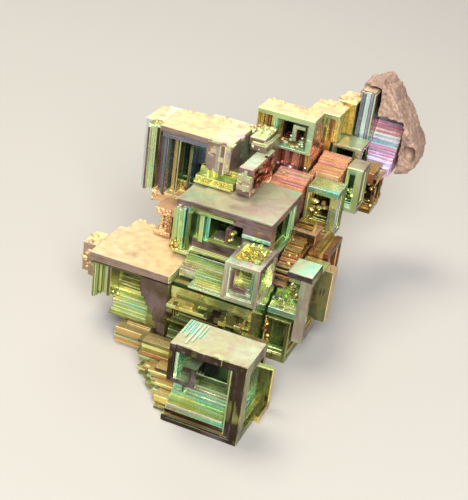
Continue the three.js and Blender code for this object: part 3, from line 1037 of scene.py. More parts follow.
@dataclass
class MiddleGroup(Group):
    """The crystals that fill the middle: the heart, the step, the centre and the copper stair."""

    step_front: float = 20.0
    centre_front: float = 30.0
    centre_top: float = 28.5
    grey: Coat = Coat((F.BLUSH,), (F.MAUVE,), (F.MAUVE,), rim_skin=0.15, spread=0.008)

    def heart_hopper(self) -> Crystal:
        """The dark, layered crystal low in the middle, with gold knobs at its right."""
        layers = Coat(
            (F.OLIVE, F.LIME, F.PEARL, F.LIME, F.SAND),
            (F.BARK, F.SAGE, F.MOSS, F.BARK, F.OLIVE, F.LIME, F.PINE), (F.MOSS, F.AMBER), dark=0.1,
            spread=0.01,
        )
        gold = Coat((F.YELLOW, F.OLIVE, F.GOLD, F.LEAF, F.MOSS, F.BARK), (F.GOLD,), (F.GOLD,), dark=0.3)
        return Crystal("olive_film", (
            Block((-24.1, -7.3), (22.5, 37.2), (0, 15.4), layers),
            Sheets((-24.1, -7.3), (20, 24), (0, 15.4), layers, 2, 13, {FRONT: 2.6}),
            Sheets((-23.4, -8), (16.6, 20.5), (8.6, 12.6), layers, 2, 5, {FRONT: 1.4, RIGHT: 1}),
            Sheets((-14.6, -3), (14.5, 20.5), (0, 9.8), layers, 2, 7, {FRONT: 0.8}),
            Hopper(FRONT, 16.6, 3, ((-22.6, -9), (9.3, 11.9)), ((-21.4, -10.4), (9.9, 11.3)), layers, 5),
            Hopper(RIGHT, -3, 3, ((15.5, 19.6), (1.2, 8.7)), ((16.7, 18.4), (3, 7)), layers, 6),
        ), (
            Knobs((-15, -8.4), (17.6, 20.6), (12.2, 13.4), gold, 16, (0.4, 1.0), 0.7, square=True),
            Knobs((-13, -4), (15, 19.6), (9.4, 10.2), gold, 16, (0.4, 1.0), 0.6, square=True),
            Knobs((-22, -15), (17.6, 20), (12.3, 12.8), gold, 10, (0.3, 0.8), 0.5, square=True),
        ))

    def step_hopper(self) -> Crystal:
        """The small square crystal on a long flight of pale terraces."""
        front = self.step_front
        treads = Coat(
            (F.PEARL, F.LIME, F.PALE_MINT, F.LIME, F.SAGE), (F.PEARL, F.LIME, F.LEAF, F.OLIVE),
            (F.PALE_MINT, F.SAGE), dark=0.1,
        )
        glitter = Coat((F.LIME, F.YELLOW, F.CREAM), (F.LIME, F.YELLOW), (F.YELLOW, F.LIME), dark=0.1)
        rim = Coat((F.BLUSH,), (F.BLUSH,), (F.MAUVE,), rim_skin=0.15, spread=0.02)
        return Crystal("teal_film", (
            Block((-13.6, -6.5), (front, 29.7), (15.7, 24), rim, grain=2),
            Hopper(FRONT, front, 0.3, ((-13, -7.1), (16.2, 23.4)), ((-12.8, -7.3), (16.4, 23.2)), rim, 2),
            Hopper(
                FRONT, front, 4.6, ((-12.5, -7.6), (16.6, 22.9)), ((-11.4, -9.4), (20.4, 21.8)), treads, 6,
            ),
            Hopper(TOP, 24, 2.4, ((-12.6, -7.6), (22.2, 28.6)), ((-11.6, -8.8), (24, 27.4)), glitter, 6),
            Hopper(RIGHT, -6.5, 2, ((21.4, 28.4), (17, 22.8)), ((23, 26.8), (18.6, 21.2)), treads, 6),
            Flight((-20.6, -8.1), (front + 0.1, 24.4), (15.75, 16.2, 17.9), treads, 4, ragged=0.9),
            Flight((-24.0, -8.1), (front + 3.4, 27.6), (15.75, 17.4, 19.5), treads, 5, ragged=0.3),
            Block((-12.3, -11.5), (front + 0.5, front + 4), (18.6, 22.4), self.grey),
            Block((-12.3, -9), (front + 0.5, front + 4), (18.1, 18.9), self.grey),
        ), (
            Knobs((-12, -7.4), (22.6, 28.8), (22.6, 24.0), glitter, 26, (0.25, 0.55), square=True),
            Knobs((-12.8, -7.2), (26, 29.4), (23.6, 24.3), glitter, 14, (0.25, 0.5)),
        ))

    def centre_hopper(self) -> Crystal:
        """The broad centre crystal: mottled plate, lavender brow, green strips and a dark slot."""
        front, top = self.centre_front, self.centre_top
        plate = Coat((F.PEARL,), (F.MAUVE,), (F.MAUVE,), skin=0.4, rim_skin=0.15, spread=0.01)
        brow = Coat((F.BLUSH,), (F.MAUVE, F.TAUPE, F.MAUVE), (F.MAUVE,), rim_skin=0.12, spread=0.01)
        ledge = Coat((F.YELLOW, F.PEARL, F.LIME), (F.SAGE, F.LEAF, F.OLIVE), (F.SAGE,), spread=0.01)
        strips = Coat(
            (F.PALE_MINT,), (F.SAGE, F.MINT, F.LEAF, F.TEAL, F.MOSS), (F.LEAF, F.PINE), spread=0.015,
        )
        pit = Coat((F.LIME, F.LEAF, F.PINE), (F.SAGE, F.MOSS, F.NIGHT), (F.TEAL, F.MOSS, F.NIGHT), dark=0.3)
        lip = Coat((F.TEAL,), (F.MINT,), (F.TEAL,))
        return Crystal("mauve_film", (
            Block((-28.8, -8.6), (front + 0.3, 47.5), (17.7, top - 0.3), plate),
            Block((-25.8, -8.6), (front, 47.5), (top - 1.1, top), plate),
            Sheets((-25.6, -15.8), (front - 0.5, 33), (top - 2.6, top - 1), ledge, 2, 5, {FRONT: 0.9}),
            Sheets(
                (-25.2, -8.7), (front - 0.4, 33), (top - 1.1, top - 0.1), brow, 2, 3,
                {FRONT: 0.5, LEFT: 0.8},
            ),
            Block((-16.5, -8.6), (front, 33), (25, top - 0.4), plate),
            Block((-16.3, -8.6), (front - 0.3, 33), (24.3, 25.1), lip),
            Hopper(
                FRONT, front + 0.3, 7.2, ((-25.2, -14.4), (20.8, 26.2)), ((-22, -15.6), (21.4, 25.4)), pit,
                9,
            ),
            Hopper(RIGHT, -8.6, 3, ((33, 44.4), (19.2, 27)), ((35, 41.4), (21.4, 25)), pit, 8),
            Hopper(BACK, 47.5, 3.4, ((-27, -18.6), (19, 27.4)), ((-25, -20.6), (21, 25.4)), pit, 8),
            Sheets((-28.8, -24.6), (28.3, 33), (18, 27.4), strips, 0, 8, {FRONT: 1.8, TOP: 1.2}),
            Sheets((-24.8, -21.6), (29.6, 36), (20.6, 26.3), strips, 0, 5, {FRONT: 3.2}),
            Flight((-28, -14), (28, 38), (17.7, 18.4, 21), ledge, 8, ragged=0.3),
            Block((-20.9, -17.3), (32, 38), (20.5, 21.3), self.grey),
            Block((-18.4, -17.3), (31.6, 38), (20.5, 24.2), self.grey),
        ), (
            Knobs(
                (-28.6, -26.4), (28, 29.4), (17.8, 20.6), Coat((F.YELLOW, F.GOLD), (F.GOLD,), (F.GOLD,)), 9,
                (0.25, 0.6),
            ),
            Knobs(
                (-17.4, -15), (29.8, 32), (20.4, 24), Coat((F.GOLD, F.LIME), (F.GOLD,), (F.GOLD,)), 7,
                (0.3, 0.6),
            ),
        ))

    def copper_stair(self) -> Crystal:
        """The narrow flight of copper treads right of the centre crystal."""
        copper = Coat(
            (F.PEACH, F.CREAM, F.SAND, F.PEACH, F.GOLD), (F.BARK, F.RUST, F.AMBER, F.BARK),
            (F.COPPER, F.AMBER), dark=0.2, spread=0.01,
        )
        return Crystal("copper_film", (
            Flight((-8.3, -4.5), (30.3, 47.5), (15.7, 16.2, 23.2), copper, 12, ragged=0.35),
            Block((-8.3, -3.2), (42.6, 47.5), (20.4, 22.3), copper),
        ), (
            Knobs((-7.6, -5), (32, 46), (17.4, 22), copper, 8, (0.25, 0.5)),
        ))


# ---------------------------------------------------------------- the right side


@dataclass
class RightGroup(Group):
    """The crystals down the right side, from the green one in front to the brown one behind."""

    front: float = 30.0
    top: float = 20.0
    rim: Coat = Coat((F.PEARL,), (F.MAUVE,), (F.BARK,), skin=0.15, spread=0.01)
    slabs: Coat = Coat(
        (F.SAND, F.GOLD, F.OLIVE), (F.OLIVE, F.AMBER, F.BARK), (F.SAND, F.OLIVE, F.AMBER, F.BARK),
        rim_skin=0.15, dark=0.35, spread=0.03,
    )

    def right_hopper(self) -> Crystal:
        """The right crystal: mint plate, knobbly hollow and a bright teal lip."""
        front, top = self.front, self.top
        lip = Coat((F.PEARL,), (F.MINT,), (F.TEAL,))
        inner = Coat((F.LIME, F.PALE_MINT), (F.SAGE, F.TEAL), (F.SAGE, F.TAUPE), dark=0.3)
        knobs = Coat((F.LIME, F.PALE_MINT, F.CREAM, F.PEARL), (F.YELLOW,), (F.LIME,), spread=0.03)
        post = Coat((F.PEARL,), (F.BLUSH,), (F.BARK,), skin=0.2, rim_skin=0.25, spread=0.01)
        return Crystal("teal_film", (
            Block((-4.2, 0.9), (front, 36.5), (top - 1.2, top), self.rim),
            Block((-3.9, 0.9), (front + 0.4, 36.5), (top - 2.2, top - 1), inner),
            Block((-4.2, 0.9), (34.6, 42), (9.8, top - 2), inner, grain=2),
            Block((-1.3, 0.9), (front, 37), (5, top - 1), post, grain=2),
            Block((-7, 0.9), (front, 37), (9.8, 11.2), lip),
            Sheets((-7, 0), (31, 37), (11, 12.6), inner, 2, 3, {FRONT: 1.6}),
            Block((-7, -4), (34, 37), (12.4, 14.4), inner),
            Block((-4.2, 2.7), (38.6, 42), (6, 17.6), self.slabs),
            Hopper(
                RIGHT, 0.9, 3.6, ((31.2, 38.6), (7.4, 17.6)), ((35.4, 38.2), (9.4, 15.4)), self.slabs, 8,
            ),
            Hopper(BACK, 42, 1.8, ((-3.4, 1.8), (8.2, 16.4)), ((-2.6, 1), (9.2, 15.2)), self.slabs, 5),
            Sheets((-4.2, -1.2), (32.8, 35), (11, 18), inner, 0, 4, {FRONT: 1.6, TOP: 0.5}),
        ), (
            Knobs((-6.6, -1.4), (31, 34), (11.9, 12.9), knobs, 18, (0.3, 0.65), square=True),
            Knobs((-4, -1.6), (32, 33.6), (13, 16.8), knobs, 14, (0.3, 0.6)),
        ))

    def lower_right_hopper(self) -> Crystal:
        """The smooth olive crystal under the right one."""
        olive = Coat((F.OLIVE,), (F.OLIVE,), (F.MOSS,), spread=0.01)
        inner = Coat((F.SAGE, F.OLIVE), (F.OLIVE, F.MOSS), (F.GOLD, F.OLIVE), dark=0.2)
        return Crystal("olive_film", (
            Block((-7, -1.6), (29, 38.3), (0, 9.5), olive, grain=2),
            Hopper(FRONT, 29, 3, ((-6.6, -2.4), (1.6, 9)), ((-6, -3.2), (2.6, 8)), inner, 5),
            Hopper(RIGHT, -1.6, 2, ((30, 37.2), (1, 8.4)), ((31.6, 35.6), (2.6, 6.8)), self.slabs, 6),
        ), (
            Knobs(
                (-6.8, -5.8), (28.8, 29.6), (1, 8.6), Coat((F.GOLD, F.AMBER), (F.GOLD,), (F.GOLD,)), 7,
                (0.3, 0.6),
            ),
        ))

    def edge_slabs(self) -> Crystal:
        """The copper slabs along the right edge."""
        slab = Coat(
            (F.PEACH, F.GOLD, F.COPPER), (F.COPPER, F.PEACH, F.RUST), (F.PEACH, F.AMBER, F.BARK), dark=0.3,
            spread=0.03,
        )
        return Crystal("copper_film", (
            Sheets((-4, 0.2), (42.3, 51.7), (9, 20), slab, 0, 5, {TOP: 1.6, FRONT: 0.3}),
            Sheets((-8.4, 0.2), (42.3, 51.7), (6, 15.2), slab, 2, 5, {LEFT: 0.3, FRONT: 0.3}),
            Hopper(RIGHT, 0.2, 3, ((43.2, 50.8), (7, 18)), ((45.2, 48.8), (9.6, 15.4)), slab, 8),
            Hopper(BACK, 51.7, 3, ((-7.6, -0.6), (7, 14.4)), ((-5.8, -2.4), (9, 12.4)), slab, 6),
        ))

    def middle_right_hopper(self) -> Crystal:
        """The tall crystal with a bright teal right edge."""
        rim = Coat((F.PALE_MINT,), (F.SAGE,), (F.BARK,), spread=0.01)
        teal = Coat((F.TEAL,), (F.TEAL,), (F.LAVENDER,))
        pit = Coat((F.PEARL, F.SAND, F.LIME), (F.LEAF, F.AMBER, F.BARK), (F.GOLD, F.LIME, F.BARK), dark=0.2)
        knobs = Coat((F.CREAM, F.YELLOW, F.LIME, F.SAND), (F.CREAM,), (F.LIME,), spread=0.03)
        return Crystal("teal_film", (
            Block((-9.2, -2.3), (52, 58), (17.7, 28.2), rim, grain=2),
            Hopper(FRONT, 52, 3.4, ((-8.6, -3.9), (18.2, 26.8)), ((-7.6, -4.8), (20.6, 25.4)), pit, 7),
            Hopper(RIGHT, -2.3, 1.2, ((53, 57.2), (18.2, 27)), ((53.8, 56.4), (19.6, 25.6)), rim, 4),
            Sheets((-3.4, -2.25), (51.9, 53.6), (17.9, 27), teal, 0, 2, {FRONT: 0.2}),
            Block((-8.8, -2.3), (51.95, 53), (27.3, 28.25), Coat((F.TEAL,), (F.TEAL,), (F.MINT,))),
        ), (
            Knobs((-8.2, -4.6), (52.2, 54.6), (18.4, 25), knobs, 16, (0.35, 0.8)),
        ))

    def narrow_hopper(self) -> Crystal:
        """The narrow lavender crystal behind."""
        rim = Coat((F.PEARL,), (F.SAGE,), (F.TAUPE,), skin=0.3, rim_skin=0.15)
        pit = Coat((F.LEAF,), (F.TEAL, F.PINE), (F.LEAF, F.PINE), dark=0.25)
        return Crystal("mauve_film", (
            Block((-4, -0.4), (62, 67.7), (20, 30.2), rim, grain=2),
            Hopper(FRONT, 62, 2.2, ((-3.7, -1.9), (21, 29.4)), ((-3.3, -2.3), (22.6, 27.6)), pit, 5),
            Hopper(RIGHT, -0.4, 0.8, ((62.8, 66.9), (21, 29.2)), ((63.6, 66.1), (22, 28.2)), rim, 3),
        ), (
            Knobs((-3.8, -2), (61.8, 63), (21, 26), pit, 8, (0.3, 0.6)),
        ))

    def brown_hopper(self) -> Crystal:
        """The brownish crystal furthest back on the right."""
        brown = Coat((F.GOLD, F.SAND), (F.AMBER, F.BARK), (F.BARK, F.AMBER), dark=0.3, spread=0.03)
        return Crystal("gold_film", (
            Sheets((-2.6, 1.8), (68, 74.7), (18, 26.2), brown, 2, 6, {FRONT: 0.5, RIGHT: 0.5}),
            Block((-2.6, 0.8), (68, 74.7), (25, 27.5), brown),
            Hopper(FRONT, 68, 2, ((-2, 1), (19, 25.2)), ((-1.4, 0.4), (20.6, 23.8)), brown, 5),
            Hopper(RIGHT, 1.8, 1.4, ((69, 73.8), (19, 25.2)), ((69.8, 73), (20, 24.2)), brown, 4),
        ), (
            Knobs(
                (-2.4, 1.4), (67.8, 68.8), (19, 25), Coat((F.GOLD, F.YELLOW), (F.GOLD,), (F.GOLD,)), 9,
                (0.3, 0.7),
            ),
        ))


# ---------------------------------------------------------------- the upper left


@dataclass
class UpperGroup(Group):
    """The large upper left crystal with the small ones on and under it."""

    front: float = 40.0
    top: float = 37.8
    plate: Coat = Coat((F.SAND,), (F.MAUVE,), (F.TAUPE,), skin=1.0, rim_skin=0.25)
    strips: Coat = Coat(
        (F.SAGE,), (F.SAND, F.MAUVE, F.PEARL, F.BARK, F.OLIVE, F.MAUVE, F.BLUE, F.SLATE, F.BARK),
        (F.SAGE, F.OLIVE, F.SLATE), spread=0.012,
    )

    def upper_hopper(self) -> Crystal:
        """The upper crystal: dull plate, a curtain of strips, a slate panel and a glittery corner."""
        front, top = self.front, self.top
        pit = Coat(
            (F.SAGE, F.LEAF, F.PINE), (F.SLATE, F.SLATE, F.PINE, F.NIGHT), (F.OLIVE, F.PINE, F.NIGHT),
            dark=0.35,
        )
        blue = Coat((F.SLATE,), (F.SLATE,), (F.SLATE,))
        mauve = Coat((F.PEARL,), (F.MAUVE,), (F.MAUVE,), skin=0.6, rim_skin=0.3, spread=0.01)
        glitter = Coat(
            (F.BLUSH, F.SAGE, F.LAVENDER, F.PEARL), (F.MAUVE, F.LAVENDER, F.SAGE, F.MAUVE, F.BLUSH),
            (F.MAUVE, F.SAGE), skin=0.3, rim_skin=0.2,
        )
        crusty = Coat(
            (F.TAN, F.SAND, F.PEACH, F.BLUSH), (F.ROSE_TAN,), (F.ROSE_TAN,), skin=0.5, rim_skin=0.4,
            spread=0.05,
        )
        stage = Coat(
            (F.CREAM,), (F.ICE, F.BLUSH, F.SAND, F.BLUE, F.PEARL), (F.SLATE,), skin=0.9, rim_skin=0.2,
        )
        return Crystal("slate_film", (
            Block((-42, -29.2), (front + 4.6, 53), (22, top - 1), self.strips),
            Block((-42, -22.3), (45, 53), (28.8, top - 1), self.strips),
            Block((-39.4, -32.6), (front + 1.4, 51), (20.2, 22.6), crusty),
            Hopper(FRONT, front + 0.5, 8, ((-36.6, -26.4), (22.6, 35.6)), ((-32.6, -27), (28, 34)), pit, 9),
            Block((-38.2, -22.3), (front, 50.5), (top - 1.2, top), self.plate, grain=0),
            Block((-37.6, -22.6), (front + 0.5, 50), (top - 2.5, top - 1), blue),
            Sheets((-43.3, -37.5), (43.5, 52), (21.4, top - 0.8), stage, 0, 5, {FRONT: 1.2, TOP: 0.5}),
            Sheets((-42, -36.4), (40.6, 46), (22.2, top - 1.6), self.strips, 0, 10, {FRONT: 2.6}),
            Sheets((-36.6, -31.6), (42.4, 49), (22.2, top - 2.2), self.strips, 0, 9, {FRONT: 4.6}),
            Block((-32.2, -24), (46.5, 50), (28.8, 34), blue),
            Block((-27.6, -22.3), (front - 0.3, 47), (32.4, top - 0.4), mauve),
            Block((-26.2, -22.3), (front + 0.2, 47), (31.2, 33), mauve),
            Block((-26.8, -22.2), (front - 0.1, 49), (top - 1, top + 0.15), mauve),
            Sheets(
                (-27.5, -22.4), (front - 0.8, 42), (32.2, top - 0.2), glitter, 0, 8,
                {FRONT: 0.7, UNDER: -1.3, TOP: 0.9},
            ),
            Hopper(LEFT, -43.3, 1.4, ((44.6, 51), (23, 35.6)), ((45.8, 49.8), (24.4, 34)), stage, 6),
            Hopper(BACK, 53, 2.6, ((-40.6, -30.4), (23.4, 35.4)), ((-38, -33), (26, 32.6)), pit, 8),
        ), (
            Knobs((-37.6, -23), (49.6, 50.5), (top - 0.5, top), self.plate, 28, (0.4, 0.9), 0.7),
            Knobs((-42.6, -38.2), (43.4, 51.6), (top - 1.9, top - 1.2), crusty, 48, (0.35, 0.9), 0.5),
            Knobs((-39.2, -32.8), (41.2, 41.7), (20.4, 22.4), crusty, 44, (0.25, 0.6)),
            Knobs((-27.2, -22.7), (front - 0.3, front), (32.8, 37), glitter, 18, (0.3, 0.7), square=True),
            Knobs((-27, -22.6), (front, 46), (top - 0.3, top), glitter, 16, (0.4, 0.9), 0.4, square=True),
        ))

    def pillar(self) -> Crystal:
        """The beaded peach pillar between the upper crystal and the left one."""
        peach = Coat((F.PEACH,), (F.PEACH, F.SAND, F.TAN), (F.GOLD,), skin=0.4, rim_skin=0.3)
        dark = Coat((F.BARK,), (F.BARK, F.AMBER), (F.BARK,))
        return Crystal("copper_film", (
            Block((-33.6, -29.2), (37.4, 43.9), (17.1, 19.5), dark),
            Block((-33.5, -30), (36.2, 40.1), (17.15, 22.5), dark),
            Sheets((-33.6, -31.3), (34.2, 37), (17.1, 22.6), peach, 0, 5, {FRONT: 0.9}, gap=0.25),
            Block((-35.2, -30.8), (34.6, 40), (21.4, 22.6), peach),
            Block((-34.6, -31), (33.6, 37), (17.05, 18), peach),
            Sheets((-31.4, -29.3), (35, 40), (17.2, 21), dark, 0, 3, {FRONT: 1.2, TOP: 0.5}),
        ), (
            Knobs((-33.5, -31.5), (34.1, 34.7), (17.6, 22.2), peach, 34, (0.2, 0.4)),
            Knobs((-35, -31), (34.5, 34.8), (21.5, 22.5), peach, 20, (0.25, 0.5)),
            Knobs((-34.4, -31.4), (33.5, 33.8), (17.2, 17.9), peach, 10, (0.25, 0.5)),
        ))

    def floor_block(self) -> Crystal:
        """The bright yellow green block on the centre crystal's plate."""
        green = Coat((F.LIME, F.YELLOW, F.LIME), (F.LIME, F.LEAF, F.LIME), (F.YELLOW,), spread=0.02)
        bead = Coat((F.GOLD, F.YELLOW, F.CREAM), (F.GOLD,), (F.GOLD,))
        return Crystal("gold_film", (
            Flight((-28.9, -20.6), (37.6, 43.7), (28.8, 29.3, 31.4), green, 4, ragged=0.2),
            Sheets((-28.8, -25), (39.6, 43.6), (28.9, 31.8), green, 0, 6, {FRONT: 1.4, TOP: 0.5}),
        ), (
            Knobs((-28.6, -22), (37.8, 39), (28.9, 29.5), bead, 26, (0.15, 0.35)),
        ))

    def fin_crystal(self) -> Crystal:
        """The thin upright crystal beside it, red brown on its right face."""
        grey = Coat((F.PEARL,), (F.BLUSH,), (F.RUST,), skin=0.4, rim_skin=0.3, spread=0.015)
        specks = Coat(
            (F.BLUSH, F.SAGE, F.PEARL), (F.MAUVE, F.BLUSH, F.SAGE, F.MAUVE), (F.RUST,), skin=0.3,
            rim_skin=0.2,
        )
        reds = Coat((F.RUST, F.COPPER, F.WINE, F.BLUSH), (F.RUST,), (F.RUST,))
        red = Coat((F.COPPER,), (F.RUST,), (F.RUST, F.COPPER, F.WINE), dark=0.3)
        return Crystal("mauve_film", (
            Block((-19.5, -16.6), (38, 50), (28.8, 34.8), grey, grain=2),
            Hopper(RIGHT, -16.6, 1.8, ((39, 49), (29.4, 34)), ((41, 47), (30.4, 33)), red, 6),
            Sheets(
                (-19.5, -16.6), (37.5, 39), (28.9, 34.9), specks, 2, 9, {FRONT: 0.5, RIGHT: 0.3, LEFT: -0.2},
            ),
        ), (
            Knobs((-19.2, -16.9), (37.5, 37.9), (29.2, 34.6), specks, 16, (0.2, 0.5), square=True),
            Knobs((-16.9, -16.6), (38.6, 49.4), (29.2, 34.6), reds, 26, (0.25, 0.6), square=True),
        ))

    def saddle_crystal(self) -> Crystal:
        """The dull crystal in the gap behind the fin."""
        plate = Coat((F.SAGE,), (F.MAUVE,), (F.TAUPE,), skin=0.3, rim_skin=0.2)
        return Crystal("sand_film", (
            Block((-21.8, -18.4), (48, 55.7), (35.4, 37.1), plate),
            Block((-21, -17.6), (46.8, 50), (34.9, 36.2), plate),
            Block((-22, -17.6), (50.4, 55.6), (28.2, 36), plate),
            Hopper(LEFT, -22, 1.2, ((51.2, 54.9), (29.2, 34.6)), ((52, 54.1), (30.2, 33.6)), plate, 4),
        ), (
            Knobs((-21.6, -18.6), (51, 55.6), (36.8, 37.3), plate, 16, (0.3, 0.7)),
            Knobs((-21.4, -17.8), (46.9, 48.4), (35.2, 36.8), plate, 20, (0.2, 0.5)),
        ))

    def back_hopper(self) -> Crystal:
        """The open hopper behind, with steps in its left and rear faces."""
        pit = Coat(
            (F.TEAL, F.BLUE, F.LAVENDER, F.ROSE, F.GOLD), (F.SLATE, F.LAVENDER, F.ROSE, F.GOLD),
            (F.TEAL, F.BLUE, F.MAUVE, F.GOLD), dark=0.3,
        )
        body = Coat((F.PEARL,), (F.SLATE,), (F.SLATE,), skin=0.6, rim_skin=0.1)
        return Crystal("slate_film", (
            Block((-36, -24.3), (53.3, 64), (20, 33), body),
            Hopper(BACK, 64, 5.2, ((-34.8, -25.5), (21.2, 31.8)), ((-32, -28.4), (24.4, 28.6)), pit, 12),
            Hopper(LEFT, -36, 3, ((54.5, 62.8), (21.2, 31.8)), ((57, 60.2), (24.4, 28.6)), pit, 9),
        ), (
            Knobs((-35.4, -25), (54, 63.4), (32.6, 33), body, 14, (0.4, 0.8)),
        ))


# ---------------------------------------------------------------- the summit and the pink floor


@dataclass
class SummitGroup(Group):
    """The summit crystal, the pink floor below it and the ridge that runs back from it."""

    front: float = 56.0
    top: float = 40.5
    cream: Coat = Coat((F.SAND,), (F.SAGE,), (F.OLIVE,), skin=1.0, rim_skin=0.2)
    ribs: Coat = Coat(
        (F.SAND,), (F.GOLD, F.YELLOW, F.LIME, F.AMBER, F.YELLOW), (F.OLIVE, F.BARK, F.AMBER), spread=0.01,
    )

    def summit_hopper(self) -> Crystal:
        """The summit crystal: knobbly plate, golden curtain and a mint rim around a dark hollow."""
        front, top = self.front, self.top
        mint = Coat((F.PEARL,), (F.MINT,), (F.RUST,), spread=0.02)
        curtain = Coat((F.SAND,), (F.YELLOW, F.LIME, F.GOLD, F.YELLOW), (F.GOLD, F.AMBER), spread=0.02)
        bark = Coat((F.BARK,), (F.BARK,), (F.RUST, F.BARK))
        pit = Coat(
            (F.LEAF, F.GOLD, F.RUST), (F.TEAL, F.OLIVE, F.BARK, F.NIGHT), (F.OLIVE, F.RUST, F.NIGHT),
            dark=0.35,
        )
        pale = Coat((F.PEARL, F.PEACH, F.MINT), (F.PEARL,), (F.PEACH,), skin=0.3)
        return Crystal("gold_film", (
            Block((-23.5, -10.95), (front + 1.2, 62.5), (35.9, top - 0.8), bark),
            Block((-20.2, -10.9), (front, 62.5), (32.8, 36.2), mint),
            Block((-19.8, -10.9), (front, 62.5), (35.8, top - 0.9), mint),
            Block((-23.6, -10.9), (front, 62.5), (top - 1, top), self.cream),
            Sheets(
                (-23.6, -19.6), (front, 60), (35.7, top - 0.6), curtain, 0, 8, {FRONT: 0.6, UNDER: -2.2},
                gap=0.35,
            ),
            Hopper(FRONT, front, 4, ((-19.4, -12.2), (33.4, 39.2)), ((-17.6, -14.4), (35.2, 38)), pit, 8),
            Hopper(BACK, 62.5, 1.8, ((-22.6, -12), (36.6, 39.6)), ((-20.6, -14), (37.4, 38.8)), pit, 5),
            Block((-15.6, -14.6), (front + 0.3, front + 3), (35, 38.6), mint),
            Block((-15.6, -12.8), (front + 0.3, front + 3), (37.8, 38.6), mint),
        ), (
            Knobs((-23, -11.4), (61.4, 62.4), (top - 0.4, top + 0.1), self.cream, 24, (0.35, 0.7)),
            Knobs((-18.4, -13), (front + 0.6, front + 2), (33.6, 36), pale, 12, (0.3, 0.6)),
            Knobs((-23.4, -20.4), (front, front + 1), (35.8, 36.4), pale, 8, (0.2, 0.5)),
        ))

    def rib_column(self) -> Crystal:
        """The column of red brown ribs under the summit."""
        red = Coat((F.ROSE,), (F.COPPER, F.RUST, F.ROSE_TAN, F.WINE, F.GOLD), (F.RUST, F.BARK), spread=0.01)
        return Crystal("copper_film", (
            Block((-17.3, -11), (58, 66), (22, 32.5), red),
            Block((-19, -16.8), (58.5, 66), (24, 32.5), red),
            Sheets((-19, -11), (56.6, 62), (24, 32.5), red, 0, 15, {FRONT: 1.5, UNDER: 0.5}),
            Hopper(LEFT, -19, 1.4, ((58.5, 65), (25, 31.6)), ((59.5, 64), (26, 30.6)), red, 5),
        ), (
            Knobs((-18.6, -11.2), (56.6, 58), (28.4, 29.6), red, 10, (0.2, 0.5)),
        ))

    def rose_floor(self) -> Crystal:
        """The two flights of pink and copper treads."""
        pink = Coat(
            (F.PEACH, F.CREAM, F.ROSE, F.PEACH, F.SAND, F.PEACH), (F.PEACH, F.COPPER, F.PEACH, F.ROSE),
            (F.COPPER, F.GOLD), spread=0.01,
        )
        return Crystal("rose_film", (
            Flight((-17, -9.5), (47.8, 56.2), (22, 27.2, 29), pink, 8, ragged=0.3),
            Block((-10.7, -9.5), (56, 59), (22, 29), pink),
            Flight((-10.7, -4.3), (58.3, 66), (22, 29, 30.8), pink, 8, ragged=0.3),
        ), (
            Knobs((-16.6, -12), (53, 56.4), (28.4, 29.2), pink, 10, (0.15, 0.35)),
        ))

    def ridge_hopper(self) -> Crystal:
        """The first crystal of the ridge, cream above and ribbed below."""
        pit = Coat((F.SAND, F.GOLD), (F.PEARL, F.AMBER, F.BARK), (F.GOLD, F.BARK), dark=0.35)
        return Crystal("gold_film", (
            Block((-15.5, -8.6), (67.2, 73.5), (32.5, 38.4), self.ribs),
            Block((-15.5, -9.9), (67, 73.5), (24, 33), self.ribs),
            Block((-15.5, -8.6), (66.3, 73.5), (38, 39), self.cream),
            Sheets((-15.5, -9.9), (66.3, 70), (24, 36), self.ribs, 0, 11, {FRONT: 1.3}),
            Sheets((-15.4, -8.7), (66.2, 69), (32.8, 38.1), self.ribs, 0, 8, {FRONT: 0.6}, gap=0.3),
            Hopper(LEFT, -15.5, 2.4, ((67.2, 72.6), (25, 37.4)), ((68.8, 71), (27.4, 35)), pit, 7),
        ), (
            Knobs((-15, -9), (71.6, 73.4), (38.4, 39.2), self.cream, 22, (0.4, 0.8)),
            Knobs((-15.4, -14.4), (67, 72), (38.2, 39), self.cream, 12, (0.3, 0.7)),
        ))

    def spur_hopper(self) -> Crystal:
        """The second crystal of the ridge."""
        pit = Coat((F.GOLD,), (F.AMBER, F.BARK), (F.GOLD, F.OLIVE, F.BARK), dark=0.3)
        return Crystal("gold_film", (
            Block((-11.4, -7.3), (73.8, 81), (32.5, 39.4), self.ribs),
            Block((-14, -7.3), (75, 83), (26, 36), self.ribs),
            Block((-11.4, -7.3), (73.8, 81), (38.9, 39.8), self.cream),
            Sheets((-11.4, -7.3), (73.8, 77), (32.5, 38), self.ribs, 0, 7, {FRONT: 1.0}),
            Hopper(LEFT, -14, 2.4, ((76, 82), (27, 35)), ((77.6, 80.4), (29, 33)), pit, 7),
        ), (
            Knobs((-11, -7.6), (74.4, 80.8), (39.2, 40), self.cream, 26, (0.4, 0.9)),
            Knobs((-13.6, -11.8), (75.4, 82), (35.7, 36.3), self.cream, 16, (0.4, 0.8)),
        ))

    def shelf_hopper(self) -> Crystal:
        """The pale green shelf with a dark hollow under it."""
        shelf = Coat((F.PALE_MINT,), (F.PEARL,), (F.MAUVE,), skin=0.3)
        pit = Coat((F.LEAF, F.PINE), (F.SAGE, F.PINE, F.NIGHT), (F.MOSS, F.NIGHT), dark=0.35)
        knobs = Coat((F.PALE_MINT, F.LIME, F.CREAM), (F.LIME,), (F.LIME,))
        return Crystal("teal_film", (
            Block((-9.6, -2.9), (68, 74.7), (26.5, 32.2), shelf),
            Hopper(FRONT, 68, 3.6, ((-9, -4.4), (27.2, 31.4)), ((-7.8, -5.6), (28.4, 30.4)), pit, 6),
            Hopper(RIGHT, -2.9, 1, ((69, 73.8), (27.4, 31.4)), ((69.8, 73), (28.2, 30.6)), pit, 4),
        ), (
            Knobs((-9, -5), (67.8, 69.6), (26.8, 29.4), knobs, 16, (0.3, 0.7)),
        ))


# ---------------------------------------------------------------- the far end and the underside


